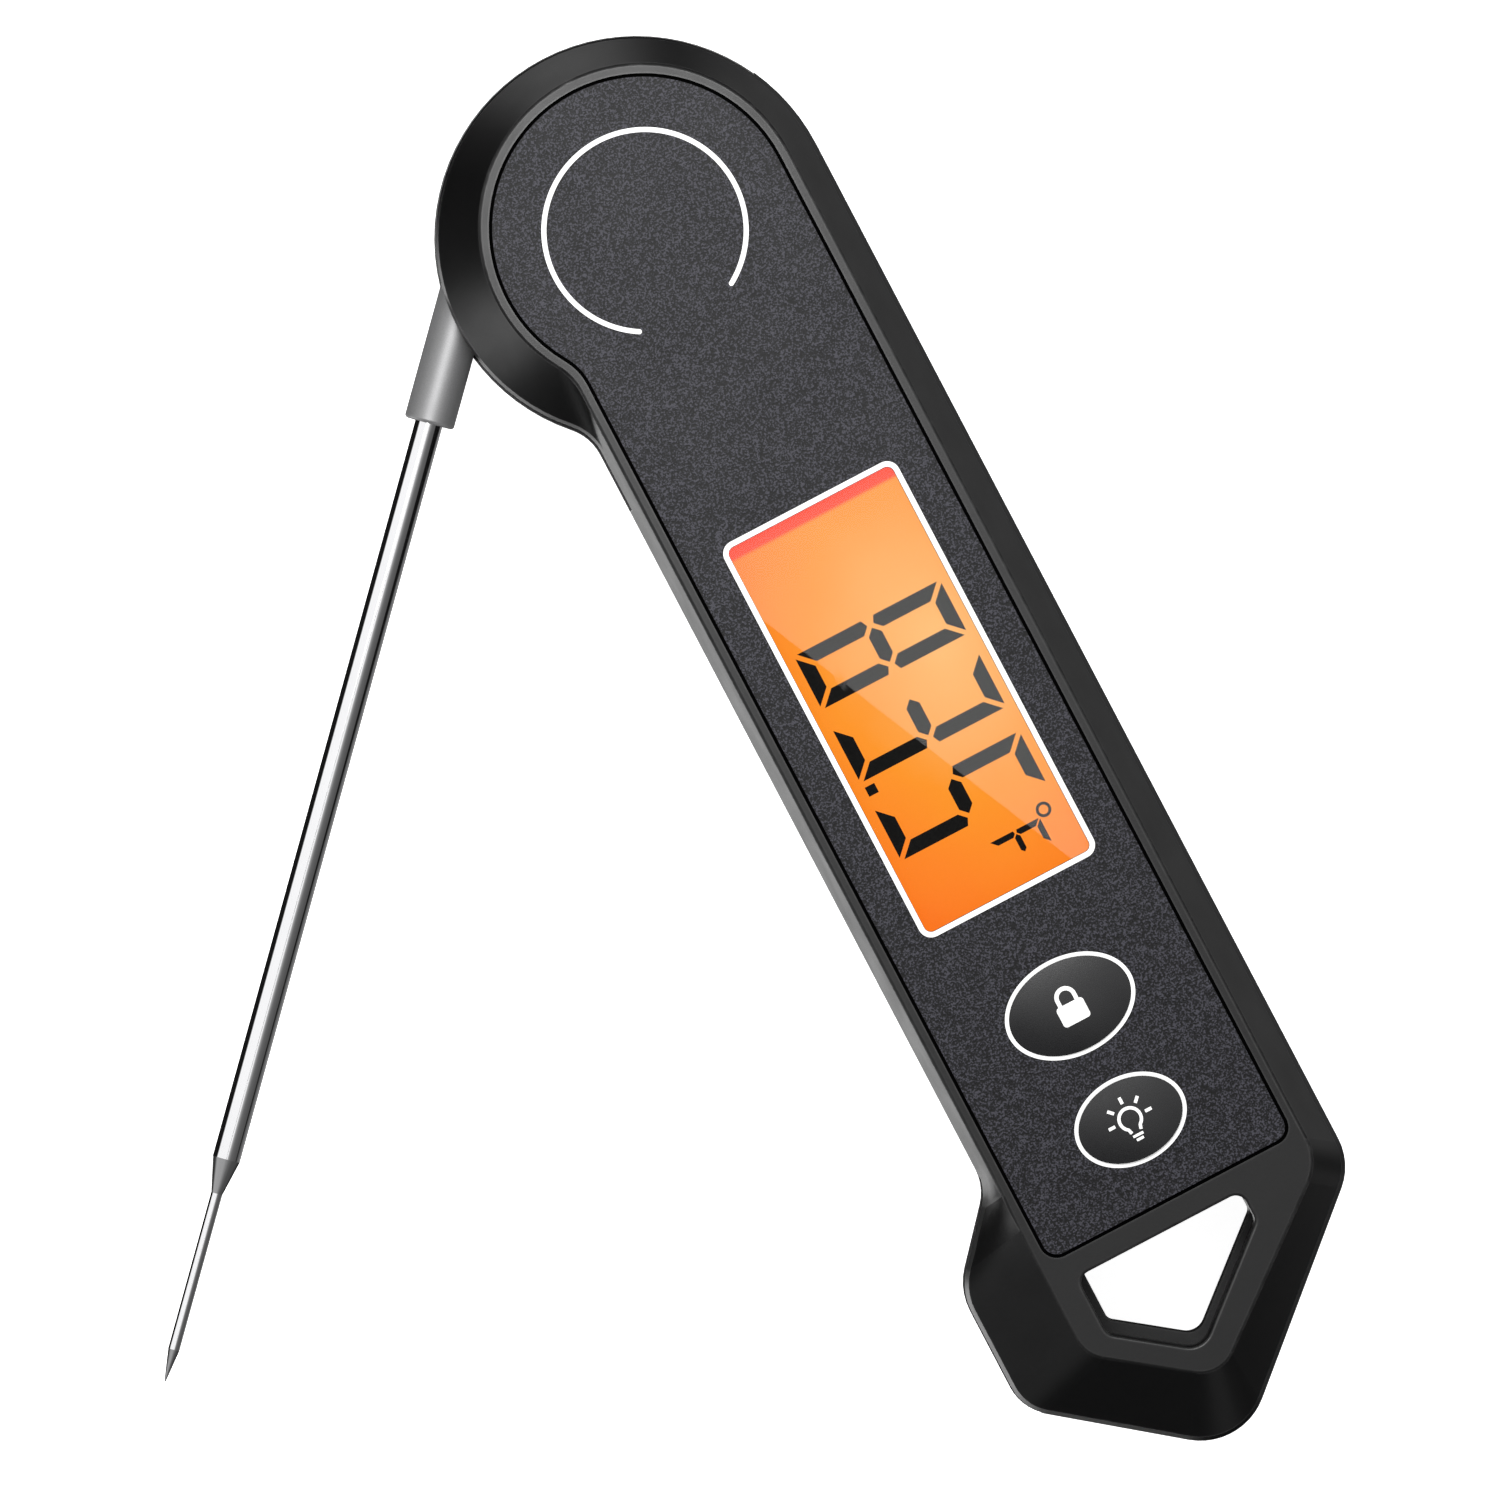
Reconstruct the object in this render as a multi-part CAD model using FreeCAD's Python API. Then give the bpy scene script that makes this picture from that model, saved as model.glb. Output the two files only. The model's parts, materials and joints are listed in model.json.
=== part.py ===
import FreeCAD, Part
import math
import os

from FreeCAD import Vector

# A folding probe thermometer, lying on its back. Millimetres.
# The origin is where the probe's hinge axis meets the back plane. +Z points out of the face, +Y runs from
# the tail to the head, and +X is to the reader's right. The probe is partly open.

# ---------------------------------------------------------------- driving dimensions
FACE_Z = 20.0  # the rim of the face, and so the body's thickness
PARTING_Z = 9.0  # where the two shells meet, level with the probe's axis
WALL = 2.1  # side walls of both shells
FLOOR_Z = 1.7  # inside of the rear shell's back wall
BACK_ROUND = 2.0  # rounding round the back
DRAFT_Z = 9.5  # above this the side wall leans in
DRAFT = 0.5  # by this much
FLANK_Z = 14.2  # where the sloping flank starts
RIM_ROUND = 0.35  # rounding between the flank and the rim

# Outlines seen from the front: the head's circle (x, y, radius), the handle's left side, the radius of the
# neck, and the corners from the right one clockwise, each (x, y, radius).
BASE = {
    "head": (0.0, 0.0, 19.9),
    "left": -13.07,
    "neck": 5.0,
    "corners": [
        (19.9, -113.0, 6.0),
        (-2.6, -133.0, 6.5),
        (-20.0, -119.4, 5.0),
        (-20.0, -106.3, 6.0),
        (-13.07, -98.4, 5.0),
    ],
}
RIM = {
    "head": (1.0, 0.39, 16.03),
    "left": -11.95,
    "neck": 6.0,
    "corners": [
        (17.03, -111.0, 5.0),
        (-1.2, -125.3, 3.4),
        (-11.95, -117.3, 3.5),
        (-11.95, -105.6, 2.0),
        (-11.95, -97.8, 2.0),
    ],
}
PANEL = {
    "head": (1.0, 0.29, 15.15),
    "left": -11.02,
    "neck": 5.5,
    "corners": [(16.15, -107.8, 1.8), (-11.02, -107.8, 1.8)],
}
PANEL_DEPTH = 0.7  # the recess that takes the face overlay
PANEL_GAP = 0.35  # the narrow groove round the overlay
OVERLAY = 0.5
FACE_WALL = 1.2  # the front shell's wall behind the overlay
CEILING_Z = FACE_Z - PANEL_DEPTH - FACE_WALL

HOLE = [
    (-9.16, -110.2, 1.2),
    (8.92, -110.2, 1.2),
    (8.92, -113.4, 1.2),
    (-1.54, -122.2, 2.2),
    (-9.16, -116.5, 1.4),
]
HOLE_ROUND = 0.3  # rounding of its front edge
HOLE_INSET = 0.4  # the hang hole is smaller in the rear shell
HOLE_SHIFT = Vector(0.4, 0.7, 0)  # and sits a little higher there
HOLE_WALL = 1.8

FACE_X = 2.56  # the centre line of the display and the keys
WINDOW = (19.24, 43.5)  # the lens, across and along the body
WINDOW_Y = -52.55
WINDOW_LEDGE = 0.57  # the lens rests on this much of the front shell
WINDOW_ROUND = 1.3
LENS = 1.1

KEY_GAP = 0.12  # round a key, in the front shell and the overlay
KEY_TRAVEL = 0.4
KEYS = {
    "lock": {"at": (2.56, -86.4), "half": (6.3, 4.45)},
    "light": {"at": (2.62, -99.0), "half": (5.33, 3.95)},
}
KEY_TOP_Z = 20.35
KEY_DOME_R = 40.0
KEY_FLANGE = 0.8
KEY_FLANGE_Z = (16.9, 17.9)
SWITCH = 5.2
SWITCH_TOP_Z = 15.6
PLUNGER_R = 1.0
PLUNGER_TOP_Z = 16.3
NIB_R = 1.6  # the stub under a key that meets its plunger

REST_OPENING = 43.1  # how far the probe stands open, in degrees
PROBE_Z = PARTING_Z
PROBE_OFFSET = 14.8  # from the hinge axis to the probe's axis
COLLAR_R = 2.5
COLLAR = (-2.0, 23.0)  # along the probe, from the foot of the offset
SHAFT_R = 1.375
SHAFT_BORE = 1.05
SHAFT = (12.0, 97.9)
TIP_R = 0.575
TIP_BORE = 0.36
TAPER_END = 101.4
POINT_START = 117.3
POINT_END = 120.5
LEAD_R = 0.5
THIN_LEAD_R = 0.3
SENSOR = (112.0, 114.4)

HUB_R = 17.9
HUB_Z = (4.0, 13.2)
HUB_WALL = 1.4
HUB_FLOOR = 1.2
HUB_SEAT_Y = -13.0  # the block that holds the collar ends here
HUB_MAGNET_Y = -13.6
HUB_MAGNET_R = 1.5
HUB_MAGNET_Z = (5.2, 8.3)
HUB_MAGNET_WALL = 0.8
POCKET_R = 18.3  # the space in the head that the hub turns in
POCKET_Z = (3.7, 13.5)
POCKET_RELIEF_R = 15.5  # outer radius of the ring thinned out of the head's floor
HEAD_RELIEF = (6.5, 13.4)  # inner and outer radius of the one behind its face
AXLE_R = 3.5
AXLE_BORE = 2.3
AXLE_Z = (1.9, 15.2)
SLEEVE_BORE = 3.56
SLEEVE_R = 5.0
O_RING = 0.5
O_RING_Z = (5.95, 11.25)
O_RING_GROOVE = (0.98, 1.1)  # depth and width
SOCKET_FIT = 0.02  # between a fixed pin and its socket
BOSS_R = 5.2
WASHER = (5.5, 9.0, 0.5)
WASHER_SEAT = 0.65
SLOT_HALF = 2.8  # half the height of the slot that the collar swings in
NOTCH_X = -12.1  # how deep that slot is cut into the neck
TAIL_SLOT_HALF = 1.7
TAIL_SLOT_R = 122.0
SERVICE_LOOP_R = 6.0
LEAD_BORE_R = LEAD_R + 0.3

# The sealed compartment behind the display, and the tail's own hollow.
CAVITY = [
    (17.8, -21.3, 1.5),
    (17.8, -106.5, 2.0),
    (-10.97, -106.5, 2.0),
    (-10.97, -27.5, 1.0),
    (-9.6, -25.6, 1.0),
    (-9.6, -21.3, 1.0),
]
WIRE_GROOVE = 2.0  # for the board's wires, in the head
CAVITY_HEAD_REACH = -CAVITY[0][1] + 1.0  # that groove reaches this far towards the tail
CAVITY_STEP_Z = 13.95  # the compartment is narrower above this
TAIL_CAVITY_TOP = -109.2
SEAL_GAP = 0.6
SEAL = 0.8

BOARD = (-10.3, 16.9, -104.5, -22.6)  # left, right, tail end, head end
BOARD_Z = (12.7, 13.7)
CHIP = (10.2, 15.6, -56.0, -46.0)  # left, right, tail end, head end
CHIP_THICK = 1.3
WAKE_SWITCH = (3.5, -24.3)
WAKE_R = 0.9
WAKE_LENGTH = 6.5
DISPLAY = (21.1, 47.2)
DISPLAY_Y = -52.6
FRAME_WALL = 0.8
LCD_Z = (16.0, 18.0)
LIGHT_GUIDE_Z = (14.2, 15.9)
STRIP = 1.4  # the contact strip between the display and the board

BATTERY_R = 5.25
BATTERY_X = 2.5
BATTERY_Z = 6.9
BATTERY = (-80.5, -37.0)  # the can, tail end and head end
NUB = (1.9, 1.0)
BAY = (11.4, -83.6, -34.8)  # across, tail end, head end
RIB = 1.3
DOOR = (16.0, -89.6, -33.0)
DOOR_THICK = 1.6
DOOR_FRAME = 1.6
DOOR_GAP = 0.15
DOOR_Z = (0.05, 1.5)
DOOR_SEAL_Z = 1.1  # underside of the door's seal
DOOR_TAB = 8.0
DOOR_SCREW_Y = -86.6
DOOR_SCREW = (1.55, 0.9, 0.8)  # head radius, top of the head above the back plane, shank radius
DOOR_BOSS = (2.4, 8.0, 7.0)  # radius, top, and top of its pilot hole
GRIP_LINES = (-38.0, -40.0, -42.0, -44.0)

MAGNET_R = 5.0
MAGNET_THICK = 3.0
MAGNET_SETBACK = 0.15
MAGNET_WALL = 1.2
MAGNET_BOSS_Z = 4.4
MAGNETS = [(2.5, -26.2), (2.5, -98.0)]

SCREWS = [(x, y) for y in (-25.4, -80.6, -102.6) for x in (-8.2, 14.9)]
SCREW_BOSS_R = 2.5
SCREW_HEAD = (1.9, 1.0, 2.4)  # radius, underside and top above the back plane
SCREW_SHANK = (1.0, 15.5)
SLOT_WIDTH = 0.5  # of the slots in the screws' heads
SLOT_REACH = 1.2

TOUCH = 0.01  # so that solids that only meet never share volume


# ---------------------------------------------------------------- outlines
def rounding(before, corner, after, radius):
    """Start, middle and end of a rounded corner. A straight corner has no middle."""
    to_before = (before - corner).normalize()
    to_after = (after - corner).normalize()
    half = to_before.getAngle(to_after) / 2
    if half > math.radians(89.5):
        return corner + to_before * radius, None, corner + to_after * radius
    reach = radius / math.tan(half)
    inwards = (to_before + to_after).normalize()
    middle = corner + inwards * (radius / math.sin(half) - radius)
    return corner + to_before * reach, middle, corner + to_after * reach


def edges_through(roundings, closed):
    """Straight edges between the roundings, and their arcs."""
    edges = []
    for i, (start, middle, end) in enumerate(roundings):
        if i or closed:
            edges.append(Part.LineSegment(roundings[i - 1][2], start).toShape())
        if middle:
            edges.append(Part.Arc(start, middle, end).toShape())
        elif (end - start).Length > TOUCH:
            edges.append(Part.LineSegment(start, end).toShape())
    return edges


def polygon(corners, z=0.0):
    """A closed wire through corners (x, y, radius)."""
    points = [Vector(x, y, z) for x, y, _ in corners]
    count = len(points)
    roundings = [
        rounding(points[i - 1], points[i], points[(i + 1) % count], corners[i][2])
        for i in range(count)
    ]
    return Part.Wire(edges_through(roundings, True))


def rectangle(x, y, across, along, radius):
    """Corners of a rectangle centred on x, y, all rounded alike."""
    dx, dy = across / 2, along / 2
    signs = [(1, 1), (1, -1), (-1, -1), (-1, 1)]
    return [(x + sx * dx, y + sy * dy, radius) for sx, sy in signs]


def casing(shape, z):
    """The wire of a casing outline: right side, corners, left side, neck and head."""
    head_x, head_y, head_r = shape["head"]
    left, neck = shape["left"], shape["neck"]
    head = Vector(head_x, head_y, z)
    right = Vector(head_x + head_r, head_y, z)
    across = head_x - left + neck
    neck_centre = Vector(left - neck, head_y - math.sqrt((head_r + neck) ** 2 - across**2), z)
    neck_foot = Vector(left, neck_centre.y, z)
    neck_top = head + (neck_centre - head) * (head_r / (head_r + neck))
    bulge = (neck_foot + neck_top - neck_centre * 2).normalize()
    points = [right] + [Vector(x, y, z) for x, y, _ in shape["corners"]] + [neck_foot]
    roundings = [(right, None, right)]
    for i, (_, _, radius) in enumerate(shape["corners"]):
        roundings.append(rounding(points[i], points[i + 1], points[i + 2], radius))
    roundings.append((neck_foot, neck_centre + bulge * neck, neck_top))
    top = head + Vector(0, head_r, 0)
    turned = math.atan2(neck_top.y - head_y, neck_top.x - head_x) % (2 * math.pi)
    back = (turned + math.pi / 2) / 2
    halfway = head + Vector(math.cos(back), math.sin(back), 0) * head_r
    front = head + Vector(math.sqrt(0.5), math.sqrt(0.5), 0) * head_r
    arcs = [Part.Arc(neck_top, halfway, top).toShape(), Part.Arc(top, front, right).toShape()]
    return Part.Wire(edges_through(roundings, False) + arcs)


def inset(shape, gap):
    """The same casing outline with every side moved in by gap."""
    head_x, head_y, head_r = shape["head"]
    points = [(head_x + head_r, head_y)] + [(x, y) for x, y, _ in shape["corners"]]
    points.append((shape["left"], head_y))
    sides = []
    for (ax, ay), (bx, by) in zip(points, points[1:]):
        length = math.hypot(bx - ax, by - ay)
        dx, dy = (bx - ax) / length, (by - ay) / length
        sides.append((ax + dy * gap, ay - dx * gap, dx, dy))
    corners = []
    for (ax, ay, adx, ady), (bx, by, bdx, bdy), (_, _, radius) in zip(sides, sides[1:], shape["corners"]):
        turn = adx * bdy - ady * bdx
        if abs(turn) < 1e-6:
            corners.append((bx, by, radius))
            continue
        along = ((bx - ax) * bdy - (by - ay) * bdx) / turn
        corners.append((ax + adx * along, ay + ady * along, radius + math.copysign(gap, turn)))
    return {
        "head": (head_x, head_y, head_r - gap),
        "left": shape["left"] + gap,
        "neck": shape["neck"] + gap,
        "corners": corners,
    }


# ---------------------------------------------------------------- solids
def prism(wire, bottom, top):
    """A wire drawn at any height, made into a solid between two heights."""
    face = Part.Face(wire)
    face.translate(Vector(0, 0, bottom - wire.BoundBox.ZMin))
    return face.extrude(Vector(0, 0, top - bottom))


def stacked(wires):
    """A solid whose walls run from each wire to the next, edge by edge."""
    faces = [Part.Face(wires[0]), Part.Face(wires[-1])]
    for lower, upper in zip(wires, wires[1:]):
        for a, b in zip(lower.OrderedEdges, upper.OrderedEdges):
            faces.append(Part.makeRuledSurface(a, b))
    shell = Part.makeShell(faces)
    shell.sewShape()
    solid = Part.makeSolid(shell)
    if solid.Volume < 0:
        solid.reverse()
    return solid


def block(x0, x1, y0, y1, z0, z1):
    return Part.makeBox(x1 - x0, y1 - y0, z1 - z0, Vector(x0, y0, z0))


def disc(x, y, radius, z0, z1):
    return Part.makeCylinder(radius, z1 - z0, Vector(x, y, z0))


def ring(x, y, inner, outer, z0, z1):
    return disc(x, y, outer, z0, z1).cut(disc(x, y, inner, z0, z1))


def lying(radius, x, z, y0, y1):
    """A cylinder along Y."""
    return Part.makeCylinder(radius, y1 - y0, Vector(x, y0, z), Vector(0, 1, 0))


def outset(wire, gap):
    return wire.makeOffset2D(gap)


def centred(half_width, y0, y1, z0, z1, x=BATTERY_X):
    return block(x - half_width, x + half_width, y0, y1, z0, z1)


def cut_all(solid, cutters):
    return solid.cut(Part.makeCompound(cutters)).removeSplitter()


def edges_at(solid, z):
    """The edges of a solid that lie flat at that height."""
    near = TOUCH / 10
    boxes = [(edge, edge.BoundBox) for edge in solid.Edges]
    return [edge for edge, box in boxes if z - near < box.ZMin and box.ZMax < z + near]


def to_rest(closed_shape):
    """Turns a piece of the folded probe to where the open probe has it."""
    turned = closed_shape.copy()
    turned.rotate(Vector(0, 0, 0), Vector(0, 0, 1), -REST_OPENING)
    return turned


def along_probe(radius, start, end, end_radius=None):
    """A round length of the folded probe, between two distances from the foot of its offset."""
    base = Vector(-PROBE_OFFSET, -start, PROBE_Z)
    down = Vector(0, -1, 0)
    if end_radius is None:
        return Part.makeCylinder(radius, end - start, base, down)
    return Part.makeCone(radius, end_radius, end - start, base, down)


# ---------------------------------------------------------------- spaces inside the casing
def hole_front():
    return polygon(HOLE, PARTING_Z)


def in_hole(edge):
    """Whether an edge is part of the hang hole's outline."""
    box = edge.BoundBox
    hole = hole_front().BoundBox
    return hole.XMin - TOUCH < box.XMin and box.XMax < hole.XMax + TOUCH and box.YMax < hole.YMax + TOUCH


def hole_rear():
    wire = outset(polygon(HOLE, PARTING_Z), -HOLE_INSET)
    wire.translate(HOLE_SHIFT)
    return wire


def collar_slot():
    """The room that the collar swings through, in the head's wall and in the neck."""
    low, high = PROBE_Z - SLOT_HALF, PROBE_Z + SLOT_HALF
    reach = BASE["head"][2] + 5
    outer = PROBE_OFFSET + COLLAR_R + 0.45
    over_the_top = block(-reach, outer, 0, reach, low, high)
    in_the_neck = block(-reach, NOTCH_X, -COLLAR[1] - 0.5, TOUCH, low, high)
    return over_the_top.fuse(in_the_neck)


def tail_slot():
    """The slot in the side of the tail that the folded probe lies in."""
    low, high = PROBE_Z - TAIL_SLOT_HALF, PROBE_Z + TAIL_SLOT_HALF
    side = block(-30, BASE["left"], -TAIL_SLOT_R, -90, low, high)
    return side.common(disc(0, 0, TAIL_SLOT_R, low, high))


def tail_cavity(z0, z1):
    """The hollow round the hang hole, right of the probe's slot."""
    inner = prism(casing(inset(BASE, WALL), 0), z0, z1)
    room = block(BASE["left"] + 1.9, 30, -140, TAIL_CAVITY_TOP, z0, z1)
    hole = prism(outset(hole_front(), HOLE_WALL), z0, z1)
    return inner.common(room).cut(hole)


def seal_groove(z0, z1):
    inner = outset(polygon(CAVITY, z0), SEAL_GAP)
    outer = outset(polygon(CAVITY, z0), SEAL_GAP + SEAL)
    return prism(outer, z0, z1).cut(prism(inner, z0, z1))


# ---------------------------------------------------------------- casing
def front_shell():
    foot = inset(BASE, DRAFT)
    levels = [casing(BASE, PARTING_Z), casing(BASE, DRAFT_Z), casing(foot, FLANK_Z), casing(RIM, FACE_Z)]
    body = stacked(levels)
    body = body.makeFillet(RIM_ROUND, edges_at(body, FACE_Z))
    body = body.cut(prism(hole_front(), PARTING_Z - 1, FACE_Z + 1))
    hole_edges = [edge for edge in edges_at(body, FACE_Z) if in_hole(edge)]
    body = body.makeFillet(HOLE_ROUND, hole_edges)
    low, high = POCKET_Z
    cutters = [
        prism(casing(PANEL, 0), FACE_Z - PANEL_DEPTH, FACE_Z + 1),
        collar_slot(),
        tail_slot(),
        tail_cavity(PARTING_Z - 1, FLANK_Z - 0.6),
        disc(0, 0, POCKET_R, low, high),
        ring(RIM["head"][0], 0, *HEAD_RELIEF, high - 1, CEILING_Z),
        disc(0, 0, AXLE_R + SOCKET_FIT, high - 1, AXLE_Z[1] + TOUCH),
        disc(0, 0, AXLE_BORE, high - 1, CEILING_Z),
        block(-WIRE_GROOVE / 2, WIRE_GROOVE / 2, -CAVITY_HEAD_REACH, 0, AXLE_Z[1], AXLE_Z[1] + WIRE_GROOVE),
        seal_groove(PARTING_Z - 1, PARTING_Z + SEAL / 2),
    ]
    body = cut_all(body, cutters)
    bosses = Part.makeCompound([disc(x, y, SCREW_BOSS_R, PARTING_Z, CEILING_Z) for x, y in SCREWS])
    lower = prism(polygon(CAVITY), PARTING_Z - 1, CAVITY_STEP_Z)
    upper = prism(casing(inset(RIM, 1.1), 0), CAVITY_STEP_Z - TOUCH, CEILING_Z)
    upper = upper.common(prism(polygon(CAVITY), CAVITY_STEP_Z - TOUCH, CEILING_Z))
    body = body.cut(lower.fuse(upper).cut(bosses))
    shank_r, shank_top = SCREW_SHANK
    pilots = [disc(x, y, shank_r + SOCKET_FIT, PARTING_Z - 1, shank_top + 0.5) for x, y in SCREWS]
    across, along = WINDOW
    ledge = 2 * WINDOW_LEDGE
    inner_round = WINDOW_ROUND - WINDOW_LEDGE
    lens_seat = polygon(rectangle(FACE_X, WINDOW_Y, across + 0.06, along + 0.06, WINDOW_ROUND))
    opening = polygon(rectangle(FACE_X, WINDOW_Y, across - ledge, along - ledge, inner_round))
    lens_low = FACE_Z - PANEL_DEPTH + OVERLAY - LENS
    cutters = pilots + [prism(lens_seat, lens_low, FACE_Z + 1), prism(opening, CEILING_Z - 1, FACE_Z)]
    cutters += [oval(key, KEY_GAP, CEILING_Z - 1, FACE_Z) for key in KEYS.values()]
    return cut_all(body, cutters)


def rear_shell():
    outline = casing(BASE, 0)
    body = prism(outline, 0, PARTING_Z)
    back_edges = [edge for edge in body.Edges if edge.BoundBox.ZMax < TOUCH]
    body = body.makeFillet(BACK_ROUND, back_edges)
    low, high = POCKET_Z
    cutters = [
        prism(hole_rear(), -1, PARTING_Z + 1),
        collar_slot(),
        tail_slot(),
        tail_cavity(FLOOR_Z, PARTING_Z + 1),
        disc(0, 0, POCKET_R, low, high),
        ring(0, 0, WASHER[1] + 0.3, POCKET_RELIEF_R, FLOOR_Z, high),
        ring(0, 0, BOSS_R, WASHER[1] + 0.4, low - WASHER_SEAT, high),
        disc(0, 0, AXLE_R + SOCKET_FIT, AXLE_Z[0] - TOUCH, high),
        seal_groove(PARTING_Z - SEAL / 2, PARTING_Z + 1),
    ]
    body = cut_all(body, cutters)
    kept = [disc(x, y, SCREW_BOSS_R, FLOOR_Z - 1, PARTING_Z) for x, y in SCREWS]
    kept += [disc(x, y, MAGNET_R + MAGNET_WALL, FLOOR_Z - 1, MAGNET_BOSS_Z) for x, y in MAGNETS]
    across, tail_end, head_end = DOOR
    frame_top = DOOR_THICK + DOOR_FRAME
    kept.append(centred(across / 2 + 1.5, tail_end - 1.5, head_end + 3.2, FLOOR_Z - 1, frame_top))
    boss_r, boss_top, pilot_top = DOOR_BOSS
    kept.append(disc(BATTERY_X, DOOR_SCREW_Y, boss_r, FLOOR_Z - 1, boss_top))
    cavity = prism(polygon(CAVITY), FLOOR_Z, PARTING_Z + 1).cut(Part.makeCompound(kept))
    door_seat = rectangle(BATTERY_X, (tail_end + head_end) / 2, across, head_end - tail_end, 1.5)
    cutters = [
        cavity,
        prism(polygon(door_seat), -1, DOOR_THICK),
        centred(DOOR_TAB / 2 + 0.2, head_end - 1, head_end + 1.9, 0.8, DOOR_THICK + 0.15),
        centred(BAY[0] / 2, BAY[1], BAY[2], -1, PARTING_Z),
        disc(BATTERY_X, DOOR_SCREW_Y, DOOR_SCREW[2] + SOCKET_FIT, 0, pilot_top),
    ]
    cutters += [disc(x, y, MAGNET_R + 0.05, -1, MAGNET_SETBACK + MAGNET_THICK + TOUCH) for x, y in MAGNETS]
    cutters += [disc(x, y, SCREW_SHANK[0] + 0.15, 0, PARTING_Z + 1) for x, y in SCREWS]
    cutters += [disc(x, y, SCREW_HEAD[0] + 0.2, -1, SCREW_HEAD[2]) for x, y in SCREWS]
    body = cut_all(body, cutters)
    return body.fuse(battery_cradle()).removeSplitter()


def battery_cradle():
    """Two ribs in the rear shell, one each side of the battery."""
    half = BAY[0] / 2
    _, tail_end, head_end = BAY
    low, high = DOOR_THICK + 0.5, PARTING_Z - 0.6
    left = block(BATTERY_X - half - RIB, BATTERY_X - half, tail_end, head_end, low, high)
    right = block(BATTERY_X + half, BATTERY_X + half + RIB, tail_end, head_end, low, high)
    return Part.makeCompound([left, right])


def case_seal():
    return seal_groove(PARTING_Z - SEAL / 2 + TOUCH, PARTING_Z + SEAL / 2 - TOUCH)


def case_screws():
    """Six alike: a round head with a cross slot, and a shank into the front shell."""
    head_r, head_low, head_high = SCREW_HEAD
    screws = []
    for x, y in SCREWS:
        head = disc(x, y, head_r, head_low, head_high)
        half, reach = SLOT_WIDTH / 2, SLOT_REACH
        slots = [block(x - reach, x + reach, y - half, y + half, 0, head_low + 0.7)]
        slots.append(block(x - half, x + half, y - reach, y + reach, 0, head_low + 0.7))
        shank = disc(x, y, SCREW_SHANK[0], head_high, SCREW_SHANK[1])
        screws.append(head.cut(Part.makeCompound(slots)).fuse(shank).removeSplitter())
    return Part.makeCompound(screws)


# ---------------------------------------------------------------- face
def face_overlay():
    """The panel let into the front shell, open at the lens and the keys."""
    low = FACE_Z - PANEL_DEPTH
    sheet = prism(casing(inset(PANEL, PANEL_GAP), 0), low, low + OVERLAY)
    across, along = WINDOW
    window = polygon(rectangle(FACE_X, WINDOW_Y, across + 0.1, along + 0.1, WINDOW_ROUND + 0.05))
    cutters = [prism(window, low - 1, FACE_Z)]
    cutters += [oval(key, KEY_GAP, low - 1, FACE_Z) for key in KEYS.values()]
    return cut_all(sheet, cutters)


def display_lens():
    across, along = WINDOW
    top = FACE_Z - PANEL_DEPTH + OVERLAY
    return prism(polygon(rectangle(FACE_X, WINDOW_Y, across, along, WINDOW_ROUND)), top - LENS, top)


def oval(key, gap, z0, z1):
    """An upright oval prism, gap wider all round than the key."""
    (x, y), (half_x, half_y) = key["at"], key["half"]
    ellipse = Part.Ellipse(Vector(x, y, z0), half_x + gap, half_y + gap).toShape()
    return prism(Part.Wire([ellipse]), z0, z1)


def key_cap(key):
    """A domed oval cap with a flange that holds it in, and a nib that presses the switch."""
    x, y = key["at"]
    low, high = KEY_FLANGE_Z
    ball = Part.makeSphere(KEY_DOME_R, Vector(x, y, KEY_TOP_Z - KEY_DOME_R))
    cap = oval(key, 0, low, KEY_TOP_Z).common(ball)
    nib = disc(x, y, NIB_R, PLUNGER_TOP_Z, low + 0.1)
    return cap.fuse([oval(key, KEY_FLANGE, low, high), nib])


def key_switch(key):
    x, y = key["at"]
    half = SWITCH / 2
    body = block(x - half, x + half, y - half, y + half, BOARD_Z[1], SWITCH_TOP_Z)
    return body.cut(disc(x, y, PLUNGER_R + 0.06, BOARD_Z[1] + 0.05, SWITCH_TOP_Z))


def key_plunger(key):
    x, y = key["at"]
    return disc(x, y, PLUNGER_R, BOARD_Z[1] + KEY_TRAVEL + 0.15, PLUNGER_TOP_Z)


# ---------------------------------------------------------------- display and board
def display_box(shrink, z0, z1):
    across, along = DISPLAY
    outline = rectangle(FACE_X, DISPLAY_Y, across - 2 * shrink, along - 2 * shrink, 0.3)
    return prism(polygon(outline), z0, z1)


def display_frame():
    outer = display_box(-FRAME_WALL, BOARD_Z[1], LCD_Z[1])
    return outer.cut(display_box(-0.05, BOARD_Z[1] - 1, LCD_Z[1] + 1))


def lcd_glass():
    return display_box(0, *LCD_Z)


def backlight_panel():
    """A light guide, short of the contact strip at one end and of the lamps at the other."""
    head_end, tail_end = DISPLAY_Y + DISPLAY[1] / 2, DISPLAY_Y - DISPLAY[1] / 2
    half = DISPLAY[0] / 2
    return centred(half, tail_end + 1.9, head_end - STRIP - 0.4, *LIGHT_GUIDE_Z, x=FACE_X)


def backlight_lamps():
    tail_end = DISPLAY_Y - DISPLAY[1] / 2
    start, end, top = tail_end + 0.3, tail_end + 1.8, 15.6
    lamps = [centred(1.5, start, end, BOARD_Z[1], top, x=FACE_X + dx) for dx in (-6.5, 0, 6.5)]
    return Part.makeCompound(lamps)


def lcd_connector():
    """The rubber contact strip between the board and the glass."""
    head_end = DISPLAY_Y + DISPLAY[1] / 2
    return centred(8.5, head_end - STRIP, head_end - 0.1, BOARD_Z[1], LCD_Z[0], x=FACE_X)


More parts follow.
